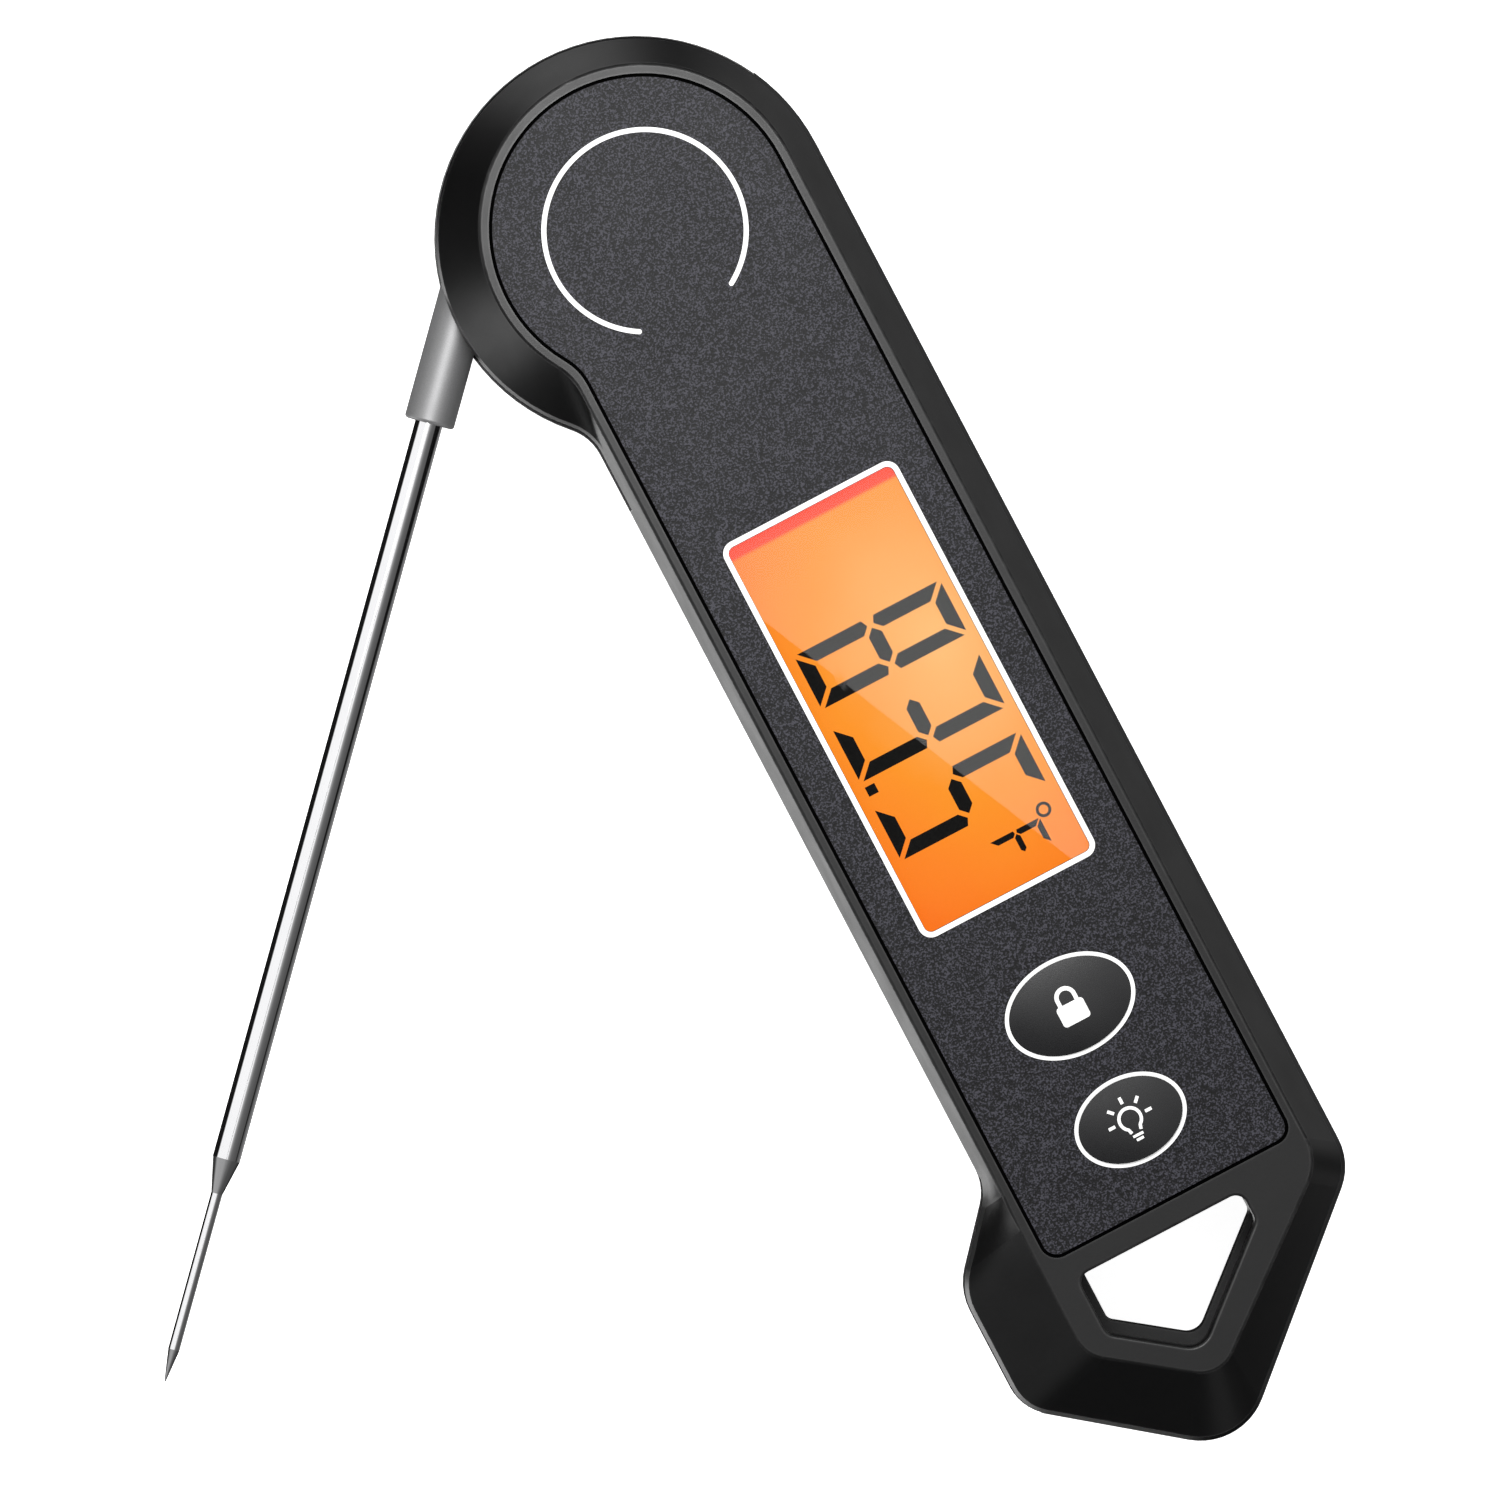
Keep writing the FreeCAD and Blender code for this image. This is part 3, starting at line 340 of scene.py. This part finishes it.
def lcd_glass():
    """The display, lit from behind: orange, palest towards its right side, with the frame's painted shadow as a
    redder strip at its head end.
    """
    grain_size, dimmest, grain_light, smoothest, grain_rough = 0.18 * MM, 0.94, 0.08, 0.25, 0.1
    deep, mid, pale = colour(1.0, 0.175, 0.002), colour(1.0, 0.30, 0.006), colour(1.0, 0.46, 0.11)
    frame_shadow_red = colour(1.0, 0.035, 0.001)
    material, tree, shader = blank("lcd_glass")
    x, y, _ = axes(tree)
    off_x = calc(tree, "MULTIPLY", calc(tree, "SUBTRACT", x, LAMP_SPOT.x), LAMP_SQUASH)
    off_y = calc(tree, "SUBTRACT", y, LAMP_SPOT.y)
    square_x, square_y = calc(tree, "MULTIPLY", off_x, off_x), calc(tree, "MULTIPLY", off_y, off_y)
    distance = calc(tree, "SQRT", calc(tree, "ADD", square_x, square_y))
    away = calc(tree, "DIVIDE", distance, LAMP_REACH)
    unevenness = calc(tree, "MULTIPLY", noise(tree, 6 * MM), LAMP_UNEVEN)
    lit = calc(tree, "SUBTRACT", calc(tree, "ADD", LAMP_LEVEL, unevenness), away, clamp=True)
    glow = ramp(tree, lit, [(0.0, deep), (0.5, mid), (1.0, pale)])
    # The frame's painted shadow: the glow turns red along the head end of the window.
    shade_start = lens_high.y - FRAME_SHADE
    shade = step(tree, y, shade_start - FRAME_SHADE_EDGE[0], shade_start + FRAME_SHADE_EDGE[1])
    grain = noise(tree, grain_size, 1.0)
    shader.inputs["Base Color"].default_value = colour(0.05, 0.02, 0.01)
    put(tree, shader.inputs["Emission Color"], blend(tree, shade, glow, frame_shadow_red))
    lighter = calc(tree, "MULTIPLY", grain, grain_light)
    put(tree, shader.inputs["Emission Strength"], calc(tree, "ADD", dimmest, lighter))
    rougher = calc(tree, "MULTIPLY", grain, grain_rough)
    put(tree, shader.inputs["Roughness"], calc(tree, "ADD", smoothest, rougher))
    shader.inputs["Specular IOR Level"].default_value = 0.08
    return material


def backlight_amber():
    """A light guide, lit."""
    look = dict(rough=0.3, grain=0.4 * MM, relief=0.003 * MM)
    material, _, shader = finish("backlight_amber", (0.9, 0.34, 0.07), **look)
    shader.inputs["Emission Color"].default_value = colour(1.0, 0.25, 0.03)
    shader.inputs["Emission Strength"].default_value = 0.6
    return material


def lcd_ink():
    """The dark segments of the display."""
    look = dict(rough=0.6, grain=0.2 * MM, relief=0.001 * MM, contrast=0.2, wear_and_highlight=0.0)
    material, _, shader = finish("lcd_ink", (0.004, 0.004, 0.004), **look)
    shader.inputs["Specular IOR Level"].default_value = 0.05
    return material


def gap_black():
    """A dark sheet at the bottom of the narrow gap round the overlay: painted shade, black and without gloss.
    """
    look = dict(rough=0.9, grain=0.2 * MM, relief=0.004 * MM, contrast=0.2, wear_and_highlight=0.0)
    material, _, shader = finish("gap_black", (0.0015, 0.0015, 0.0015), **look)
    shader.inputs["Specular IOR Level"].default_value = 0.0
    return material


def board_green():
    """Solder resist over copper: paler tracks on darker green."""
    look = dict(rough=0.3, grain=0.3 * MM, relief=0.002 * MM)
    material, tree, shader = finish("board_green", (0.010, 0.11, 0.045), **look)
    tracks = add(tree, "ShaderNodeTexBrick", Vector=place(tree), Scale=180.0)
    tracks.inputs["Color1"].default_value = colour(0.008, 0.085, 0.035)
    tracks.inputs["Color2"].default_value = colour(0.012, 0.13, 0.05)
    tracks.inputs["Mortar"].default_value = colour(0.03, 0.24, 0.08)
    put(tree, shader.inputs["Base Color"], tracks.outputs["Color"])
    return material


def glass_tube():
    look = dict(rough=0.12, grain=0.5 * MM, relief=0.001 * MM, contrast=0.05, wear_and_highlight=0.0)
    material, _, shader = finish("glass_tube", (0.75, 0.85, 0.8), **look)
    shader.inputs["Transmission Weight"].default_value = 0.8
    return material


def battery_sleeve():
    """A printed shrink sleeve: blue, with a copper band at the positive end."""
    blue, copper, band_length = (0.02, 0.05, 0.14), (0.55, 0.24, 0.08), 9 * MM
    look = dict(rough=0.28, grain=0.3 * MM, relief=0.002 * MM)
    material, tree, shader = finish("battery_sleeve", blue, **look)
    band_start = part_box("battery_cell")[1].y - band_length
    _, y, _ = axes(tree)
    band = step(tree, y, band_start, band_start + 0.1 * MM)
    put(tree, shader.inputs["Base Color"], blend(tree, band, colour(*blue), colour(*copper)))
    return material


def probe_steel():
    """Mirror-polished stainless steel with fine handling marks."""
    roughness, mark_rough, mark_relief = 0.07, 0.05, 0.0006 * MM
    material, tree, shader = blank("probe_steel")
    marks = noise(tree, 0.25 * MM, 3.0)
    broad = noise(tree, 9 * MM)
    tint = blend(tree, broad, colour(0.80, 0.80, 0.81), colour(0.74, 0.74, 0.75))
    put(tree, shader.inputs["Base Color"], tint)
    dull = calc(tree, "MULTIPLY", step(tree, marks, 0.5, 0.75), mark_rough)
    put(tree, shader.inputs["Roughness"], calc(tree, "ADD", roughness, dull))
    shader.inputs["Metallic"].default_value = 1.0
    raise_by(tree, shader, marks, mark_relief)
    return material


SPECIAL = [
    casing_black, overlay_charcoal, clear_lens, lcd_glass, backlight_amber, lcd_ink, gap_black, board_green,
    glass_tube, battery_sleeve, probe_steel,
]
materials = {name: finish(name, **look)[0] for name, look in PLAIN.items()}
materials.update({name: finish(name, **look, **SCRATCHES)[0] for name, look in SCRATCHED.items()})
materials.update({make.__name__: make() for make in SPECIAL})


def paint_nodes():
    """Each CAD node gets the material of its slot in the record."""
    for part in frame["record"]["subparts"]:
        node = frame["nodes"][part["node"]]
        node.data.materials.clear()
        node.data.materials.append(materials[part["material_slot"]])


# ---------------------------------------------------------------- mesh helpers
def piece(name, shape, body, slot):
    """A closed mesh, from (points, faces), that rides on a body."""
    points, faces = shape
    mesh = bpy.data.meshes.new(name)
    mesh.from_pydata(points, [], faces)
    mesh.validate()
    made = bpy.data.objects.new(name, mesh)
    bpy.context.scene.collection.objects.link(made)
    mesh.materials.append(materials[slot])
    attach(made, body)


def slab(outline, low, high):
    """Points and faces of a flat prism. low and high are heights, or functions of x and y."""
    count = len(outline)
    bottom = [(x, y, height(low, x, y)) for x, y in outline]
    top = [(x, y, height(high, x, y)) for x, y in outline]
    faces = [tuple(range(count))[::-1], tuple(range(count, 2 * count))]
    for i in range(count):
        j = (i + 1) % count
        faces.append((i, j, count + j, count + i))
    return bottom + top, faces


def ribbon(path, width, low, high, closed):
    """Points and faces of a flat line of that width along a path of (x, y) points."""
    count = len(path)
    points, faces = [], []
    for i, (x, y) in enumerate(path):
        ahead = path[(i + 1) % count] if closed else path[min(i + 1, count - 1)]
        behind = path[i - 1] if closed else path[max(i - 1, 0)]
        dx, dy = ahead[0] - behind[0], ahead[1] - behind[1]
        length = math.hypot(dx, dy)
        ox, oy = -dy / length * width / 2, dx / length * width / 2
        left, right = (x + ox, y + oy), (x - ox, y - oy)
        for side, level in ((left, low), (right, low), (right, high), (left, high)):
            points.append((*side, height(level, *side)))
    for i in range(count if closed else count - 1):
        a, b = 4 * i, 4 * ((i + 1) % count)
        for k in range(4):
            m = (k + 1) % 4
            faces.append((a + k, a + m, b + m, b + k))
    if not closed:
        last = 4 * (count - 1)
        faces.append((3, 2, 1, 0))
        faces.append((last, last + 1, last + 2, last + 3))
    return points, faces


def height(level, x, y):
    return level(x, y) if callable(level) else level


def joined(parts):
    """Several (points, faces) as one."""
    points, faces = [], []
    for more, its_faces in parts:
        start = len(points)
        points += more
        faces += [tuple(start + i for i in face) for face in its_faces]
    return points, faces


def arc(x, y, rx, ry, start, end, steps):
    """Points along an ellipse's arc, angles in degrees."""
    turns = [math.radians(start + (end - start) * i / steps) for i in range(steps + 1)]
    return [(x + rx * math.cos(t), y + ry * math.sin(t)) for t in turns]


def rounded_rectangle(x0, x1, y0, y1, radius, steps=8):
    x0, x1, y0, y1 = x0 + radius, x1 - radius, y0 + radius, y1 - radius
    path = []
    for x, y, start in ((x1, y1, 0), (x0, y1, 90), (x0, y0, 180), (x1, y0, 270)):
        path += arc(x, y, radius, radius, start, start + 90, steps)
    return path


# ---------------------------------------------------------------- print on the face
def head_ring():
    """The open circle on the head, with round ends towards the tail."""
    x, y, half = RING_CENTRE.x, RING_CENTRE.y, RING_LINE / 2
    start, end, steps, cap_steps = -90 + RING_GAP, 270 - RING_GAP, 160, 8
    outer = arc(x, y, RING_R + half, RING_R + half, start, end, steps)
    inner = arc(x, y, RING_R - half, RING_R - half, end, start, steps)
    first, last = arc(x, y, RING_R, RING_R, start, end, 1)
    last_cap = arc(*last, half, half, end, end + 180, cap_steps)[1:-1]
    first_cap = arc(*first, half, half, start + 180, start + 360, cap_steps)[1:-1]
    shape = slab(outer + last_cap + inner + first_cap, overlay_top, overlay_top + INK)
    piece("head_ring_print", shape, "casing", "print_white")


def window_border():
    half = BORDER_LINE / 2
    x0, x1, y0, y1 = lens_low.x + half, lens_high.x - half, lens_low.y + half, lens_high.y - half
    path = rounded_rectangle(x0, x1, y0, y1, BORDER_ROUND - half)
    shape = ribbon(path, BORDER_LINE, lens_high.z, lens_high.z + INK, True)
    piece("window_border_print", shape, "casing", "print_white")


def face_outline(node):
    """The outer edge of a flat part's top face, as (x, y) points anticlockwise."""
    part = frame["nodes"][node]
    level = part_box(node)[1].z
    sides = {}
    for face in part.data.polygons:
        corners = [part.matrix_world @ part.data.vertices[i].co for i in face.vertices]
        if min(corner.z for corner in corners) < level - 0.01 * MM:
            continue
        marks = [(round(corner.x / MM, 3), round(corner.y / MM, 3)) for corner in corners]
        sides.update(dict.fromkeys(zip(marks, marks[1:] + marks[:1])))
    following = {start: end for start, end in sides if (end, start) not in sides}
    first = min(following)
    outline, mark = [first], following[first]
    while mark != first:
        outline.append(mark)
        mark = following[mark]
    return [(x * MM, y * MM) for x, y in outline]


def widened(outline, by):
    """An anticlockwise outline moved outwards."""
    moved = []
    for i, (x, y) in enumerate(outline):
        behind, ahead = outline[i - 1], outline[(i + 1) % len(outline)]
        dx, dy = ahead[0] - behind[0], ahead[1] - behind[1]
        length = math.hypot(dx, dy)
        moved.append((x + dy / length * by, y - dx / length * by))
    return moved


def painted_gap_shade():
    """A dark sheet in the narrow gap round the overlay: painted shade, so that the gap shows black."""
    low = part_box("face_overlay")[0].z
    path = widened(face_outline("face_overlay"), GAP / 2)
    piece("painted_gap_shade", ribbon(path, GAP - SHADE_SHEET_SLACK, low, low + SHADE_SHEET_THICK, True), "casing", "gap_black")


def key_shape(name):
    """Centre and half sizes of a key's visible oval, without its flange."""
    low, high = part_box(name + "_button")
    half_x, half_y = (high.x - low.x) / 2 - KEY_FLANGE, (high.y - low.y) / 2 - KEY_FLANGE
    return (low.x + high.x) / 2, (low.y + high.y) / 2, half_x, half_y


def key_outline(name):
    x, y, half_x, half_y = key_shape(name)
    path = arc(x, y, half_x + KEY_LINE_OUT, half_y + KEY_LINE_OUT, 0, 360, 96)[:-1]
    shape = ribbon(path, KEY_LINE, overlay_top, overlay_top + INK, True)
    piece(name + "_outline_print", shape, "casing", "print_white")


# ---------------------------------------------------------------- marks on the keys
DOME_R = 40 * MM  # of the keys' tops


def dome(name, lift):
    """The height of a key's domed top, plus lift."""
    x0, y0, _, _ = key_shape(name)
    centre_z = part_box(name + "_button")[1].z - DOME_R

    def top(x, y):
        return centre_z + math.sqrt(DOME_R**2 - (x - x0) ** 2 - (y - y0) ** 2) + lift

    return top


def padlock_mark():
    """A padlock: a rounded body and the bow over it."""
    half_width, foot, shoulder, corner = 1.45 * MM, 1.75 * MM, 0.35 * MM, 0.35 * MM
    bow_r, bow_start, bow_centre, bow_line = 0.9 * MM, 0.3 * MM, 0.95 * MM, 0.42 * MM
    x, y, _, _ = key_shape("lock")
    low, high = dome("lock", -INK), dome("lock", INK)
    body = rounded_rectangle(x - half_width, x + half_width, y - foot, y + shoulder, corner, 4)
    over = arc(x, y + bow_centre, bow_r, bow_r, 180, 0, 16)
    bow = [(x - bow_r, y + bow_start)] + over + [(x + bow_r, y + bow_start)]
    shapes = [slab(body, low, high), ribbon(bow, bow_line, low, high, False)]
    piece("lock_mark", joined(shapes), "lock_key", "print_white")


def lamp_mark():
    """A lamp bulb with a threaded foot and five short rays."""
    rise, line, foot_line = 0.1 * MM, 0.32 * MM, 0.26 * MM
    bulb_r, neck_half, neck_drop = 1.1 * MM, 0.5 * MM, 1.35 * MM
    feet = ((1.72 * MM, 0.55 * MM), (2.15 * MM, 0.38 * MM))  # drop below the centre, and half width
    ray_from, ray_to = 1.65 * MM, 2.35 * MM
    x, y, _, _ = key_shape("light")
    y += rise
    low, high = dome("light", -INK), dome("light", INK)
    glass = arc(x, y, bulb_r, bulb_r, -55, 235, 28)
    bulb = [(x + neck_half, y - neck_drop)] + glass + [(x - neck_half, y - neck_drop)]
    shapes = [ribbon(bulb, line, low, high, False)]
    for drop, half in feet:
        shapes.append(ribbon([(x - half, y - drop), (x + half, y - drop)], foot_line, low, high, False))
    for angle in (0, 45, 90, 135, 180):
        dx, dy = math.cos(math.radians(angle)), math.sin(math.radians(angle))
        ray = [(x + dx * r, y + dy * r) for r in (ray_from, ray_to)]
        shapes.append(ribbon(ray, line, low, high, False))
    piece("light_mark", joined(shapes), "light_key", "print_white")


# ---------------------------------------------------------------- segments of the display
DIGIT_TOP_X = 10.67 * MM  # the digits stand with their tops towards +X and read from head to tail
DIGIT_FOOT_X = -5.45 * MM
SEGMENT = 1.45 * MM
SEGMENT_GAP = 0.34 * MM
LIT = {"8": "abcdefg", "3": "abcdg", "5": "acdfg", "F": "aefg"}
# Each digit, the y of its left side, and its width.
DIGITS = [("8", -43.6 * MM, 5.9 * MM), ("3", -51.5 * MM, 6.1 * MM), ("5", -60.3 * MM, 5.9 * MM)]
POINT_WIDE, POINT_TALL = 1.0 * MM, 1.05 * MM
POINT_LEFT_Y = -58.2 * MM
POINT_FOOT_X = DIGIT_FOOT_X + 0.15 * MM
DEGREE_CENTRE = (9.21 * MM, -68.2 * MM)
DEGREE_R, DEGREE_LINE = 0.62 * MM, 0.3 * MM
UNIT_WIDE, UNIT_TALL = 2.7 * MM, 5.55 * MM
UNIT_SEGMENT, UNIT_GAP = 0.6 * MM, 0.1 * MM
UNIT_LEFT_Y, UNIT_FOOT_X = -68.7 * MM, 2.95 * MM


def segment_outlines(width, tall, thick, gap):
    """The seven segments of a digit, as outlines of (right, up) from its lower left corner."""
    half, mid = thick / 2, tall / 2
    upright = [(0, gap), (thick, thick + gap), (thick, mid - half - gap), (half, mid - gap)]
    upright.append((0, mid - gap * 2))
    level = [(gap, 0), (width - gap, 0), (width - thick - gap, thick), (thick + gap, thick)]
    bar = [(half + gap, mid), (thick + gap, mid + half), (width - thick - gap, mid + half)]
    bar += [(width - half - gap, mid), (width - thick - gap, mid - half), (thick + gap, mid - half)]

    def flipped(outline, across, over):
        return [(width - r if across else r, tall - u if over else u) for r, u in outline]

    return {
        "a": flipped(level, False, True),
        "b": flipped(upright, True, True),
        "c": flipped(upright, True, False),
        "d": level,
        "e": upright,
        "f": flipped(upright, False, True),
        "g": bar,
    }


def on_display(outline, left_y, foot_x):
    """Turns (right, up) points of a digit into (x, y) on the display."""
    return [(foot_x + up, left_y - right) for right, up in outline]


def display_segments():
    low, high = lcd_top, lcd_top + INK
    tall = DIGIT_TOP_X - DIGIT_FOOT_X
    for number, (digit, left_y, width) in enumerate(DIGITS, 1):
        outlines = segment_outlines(width, tall, SEGMENT, SEGMENT_GAP)
        shapes = [slab(on_display(outlines[s], left_y, DIGIT_FOOT_X), low, high) for s in LIT[digit]]
        piece(f"display_digit_{number}", joined(shapes), "casing", "lcd_ink")
    point = [(0, 0), (POINT_WIDE, 0), (POINT_WIDE, POINT_TALL), (0, POINT_TALL)]
    shape = slab(on_display(point, POINT_LEFT_Y, POINT_FOOT_X), low, high)
    piece("display_point", shape, "casing", "lcd_ink")
    degree = arc(*DEGREE_CENTRE, DEGREE_R, DEGREE_R, 0, 360, 32)[:-1]
    unit = segment_outlines(UNIT_WIDE, UNIT_TALL, UNIT_SEGMENT, UNIT_GAP)
    shapes = [ribbon(degree, DEGREE_LINE, low, high, True)]
    shapes += [slab(on_display(unit[s], UNIT_LEFT_Y, UNIT_FOOT_X), low, high) for s in LIT["F"]]
    piece("display_unit", joined(shapes), "casing", "lcd_ink")


# ---------------------------------------------------------------- camera, floor and light
view_turn = math.radians(VIEW_TURN)
image_right = Vector((math.cos(view_turn), -math.sin(view_turn), 0))
image_up = Vector((math.sin(view_turn), math.cos(view_turn), 0))

CLIP_NEAR, CLIP_FAR = 0.01, 20
FLOOR_HALF = 4.0
FLOOR_DROP = 0.1 * MM  # below the object's lowest point
FLOOR_GREY, FLOOR_ROUGH, FLOOR_GLOW = 0.85, 0.9, 0.9

# Light that matt surfaces get from all round, and what the camera sees past the floor.
MATT_LIGHT, BACKDROP = 1.15, 1.0

# What shiny surfaces mirror. Each pair of greys changes from one to the other between two cosines: of the angle
# from straight up for the walls and for where the ceiling starts, and of the angle from the picture's top
# for the ceiling's greys.
WALL_GREYS, WALLS_RISE = (0.002, 0.05), (-0.95, -0.55)
CEILING_GREYS, CEILING_RISE = (0.02, 1.22), (-0.30, 0.34)
CEILING_START = (0.34, 0.87)

# Soft patches that the rough sides of the casing mirror: direction, half angle in degrees, brightness.
REFLECTORS = [
    ((-0.96, -0.06, -0.27), 22, 2.2),
    ((0.08, 0.90, -0.42), 30, 1.0),
    ((-0.34, 0.0, -0.94), 20, 1.8),
    ((0.69, 0.15, -0.71), 30, 0.33),
    ((-0.88, -0.41, 0.24), 18, 0.45),
    ((0.02, -0.98, 0.20), 22, 0.5),
]
REFLECTOR_CORE = 0.35  # share of the half angle that has the full brightness

# What the probe mirrors at rest, PROBE_TURN degrees from the casing's line: brightness against the angle from
# straight up, in degrees, + to the right of the probe.
PROBE_TURN = 43.1
ROUND_PROBE = [
    (-180, 0.01), (-150, 0.01), (-86, 0.01), (-78, 1.2), (8, 1.2), (15, 0.45), (30, 0.20), (41, 0.15),
    (67, 0.11), (97, 0.09), (116, 0.16), (137, 0.27), (150, 0.30), (160, 0.02), (180, 0.01),
]
STRIP_EDGE = (0.06, 0.13)  # the sine of the angle off the strip's middle, where it starts and ends to fade

# The probe's two cones mirror a softer strip, further towards the tip: where it is, and its brightness.
CONES_MIRROR = 0.42
CONES_EDGE = (0.10, 0.20)
ROUND_CONES = [
    (-180, 0.01), (-105, 0.04), (-80, 0.45), (-10, 0.40), (30, 0.16), (60, 0.09), (150, 0.06), (160, 0.01),
    (180, 0.01),
]

# Straight above is a dark hole for the camera, which the flat lens mirrors: its half angle and soft edge in
# degrees. A bright card fills part of it, and its edge crosses the lens from one of these points to the other.
CAMERA_HOLE, CAMERA_HOLE_EDGE, CAMERA_HOLE_GREY = 1.5, 0.3, 0.004
WINDOW_GLARE = (Vector((-6.62, -38.8, 0)) * MM, Vector((9.40, -73.8, 0)) * MM)
GLARE, GLARE_SOFT = 2.2, 0.00004

# A lamp over the head: its place right of, up from and above the head's middle, its size, and its power.
SOFTBOX_AT = (-0.025, 0.056, 0.28)
SOFTBOX_SIZE = (0.17, 0.11)
SOFTBOX_POWER = 0.62
HEAD_MIDDLE = Vector((0, 0, 20)) * MM


def make_camera():
    data = bpy.data.cameras.new("camera")
    data.sensor_width = SENSOR
    data.lens = SENSOR * VIEW_DISTANCE / VIEW_WIDTH
    data.clip_start, data.clip_end = CLIP_NEAR, CLIP_FAR
    camera = bpy.data.objects.new("camera", data)
    bpy.context.scene.collection.objects.link(camera)
    camera.location = VIEW_CENTRE + Vector((0, 0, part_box("front_shell")[1].z + VIEW_DISTANCE))
    camera.rotation_euler = (0, 0, -view_turn)
    bpy.context.scene.camera = camera


def make_floor():
    """A large pale board just under the object. Reflections don't show it, so the dark sides stay dark."""
    half, low = FLOOR_HALF, cad_low.z - FLOOR_DROP
    mesh = bpy.data.meshes.new("floor")
    corners = [(-half, -half, low), (half, -half, low), (half, half, low), (-half, half, low)]
    mesh.from_pydata(corners, [], [(0, 1, 2, 3)])
    floor = bpy.data.objects.new("floor", mesh)
    bpy.context.scene.collection.objects.link(floor)
    material, _, shader = blank("floor_pale")
    shader.inputs["Base Color"].default_value = grey(FLOOR_GREY)
    shader.inputs["Roughness"].default_value = FLOOR_ROUGH
    shader.inputs["Emission Color"].default_value = grey(1.0)
    shader.inputs["Emission Strength"].default_value = FLOOR_GLOW
    mesh.materials.append(material)
    floor.visible_glossy = False


def cosine(degrees):
    return math.cos(math.radians(degrees))


def round_the_probe(tree, share, stops):
    """Brightness by the share of a full turn, from stops in degrees."""
    return ramp(tree, share, [(degrees / 360 + 0.5, grey(value)) for degrees, value in stops])


def ceiling_and_cards(tree, direction, up):
    """Dim walls under a ceiling that is brighter towards the head, and the reflector cards."""
    headwards = step(tree, dot(tree, direction, image_up), *CEILING_RISE)
    ceiling = blend(tree, headwards, *map(grey, CEILING_GREYS))
    walls = blend(tree, step(tree, up, *WALLS_RISE), *map(grey, WALL_GREYS))
    sky = blend(tree, step(tree, up, *CEILING_START), walls, ceiling)
    for aim, spread, value in REFLECTORS:
        facing = dot(tree, direction, Vector(aim).normalized())
        patch = step(tree, facing, cosine(spread), cosine(spread * REFLECTOR_CORE))
        sky = blend(tree, patch, sky, grey(value))
    return sky


def probe_strips(tree, direction, up, sky):
    """Two long strip lamps across the probe's line: one for its cylinders, and one for its cones."""
    fold = math.radians(PROBE_TURN)
    across, along = (math.cos(fold), -math.sin(fold), 0), (math.sin(fold), math.cos(fold), 0)
    angle = calc(tree, "ARCTAN2", dot(tree, direction, across), up)
    share = calc(tree, "ADD", calc(tree, "DIVIDE", angle, 2 * math.pi), 0.5)
    off_strip = calc(tree, "ABSOLUTE", dot(tree, direction, along))
    strip = round_the_probe(tree, share, ROUND_PROBE)
    sky = blend(tree, step(tree, off_strip, *STRIP_EDGE), strip, sky)
    tipwards = dot(tree, direction, (-along[0], -along[1], 0))
    off_cones = calc(tree, "ABSOLUTE", calc(tree, "SUBTRACT", tipwards, CONES_MIRROR))
    cone_strip = round_the_probe(tree, share, ROUND_CONES)
    return blend(tree, step(tree, off_cones, *CONES_EDGE), cone_strip, sky)


def camera_hole(tree, direction, up, sky):
    """The dark hole straight above, with the card that glares on the window."""
    hole = step(tree, up, cosine(CAMERA_HOLE + CAMERA_HOLE_EDGE), cosine(CAMERA_HOLE))
    over_the_lens = [point - VIEW_CENTRE for point in WINDOW_GLARE]
    towards = [Vector((point.x, point.y, VIEW_DISTANCE)) for point in over_the_lens]
    split = towards[0].cross(towards[1]).normalized()
    card = step(tree, dot(tree, direction, split), -GLARE_SOFT, GLARE_SOFT)
    return blend(tree, hole, sky, blend(tree, card, grey(CAMERA_HOLE_GREY), grey(GLARE)))


def make_world():
    """A studio all round: even white light for matt surfaces, and shapes for shiny ones to mirror."""
    world = bpy.data.worlds.new("studio")
    bpy.context.scene.world = world
    world.use_nodes = True
    tree = world.node_tree
    direction = tree.nodes.new("ShaderNodeTexCoord").outputs["Generated"]
    up = dot(tree, direction, (0, 0, 1))
    sky = ceiling_and_cards(tree, direction, up)
    sky = probe_strips(tree, direction, up, sky)
    sky = camera_hole(tree, direction, up, sky)
    ray = tree.nodes.new("ShaderNodeLightPath").outputs
    lit = blend(tree, ray["Is Diffuse Ray"], sky, grey(MATT_LIGHT))
    seen = blend(tree, ray["Is Camera Ray"], lit, grey(BACKDROP))
    put(tree, tree.nodes["Background"].inputs["Color"], seen)


def make_softbox():
    """The lamp over the head. The camera doesn't see it."""
    data = bpy.data.lights.new("head_softbox", "AREA")
    data.shape = "RECTANGLE"
    data.size, data.size_y = SOFTBOX_SIZE
    data.energy = SOFTBOX_POWER
    lamp = bpy.data.objects.new("head_softbox", data)
    bpy.context.scene.collection.objects.link(lamp)
    right, up, above = SOFTBOX_AT
    offset = image_up * up + image_right * right + Vector((0, 0, above))
    lamp.location = HEAD_MIDDLE + offset
    lamp.rotation_mode = "QUATERNION"
    lamp.rotation_quaternion = (-offset).to_track_quat("-Z", "Y")
    lamp.visible_camera = False


# ---------------------------------------------------------------- the scene
make_camera()
make_floor()
make_world()
make_softbox()
paint_nodes()
painted_gap_shade()
head_ring()
window_border()
key_outline("lock")
key_outline("light")
padlock_mark()
lamp_mark()
display_segments()
bpy.context.scene.view_settings.view_transform = "Standard"
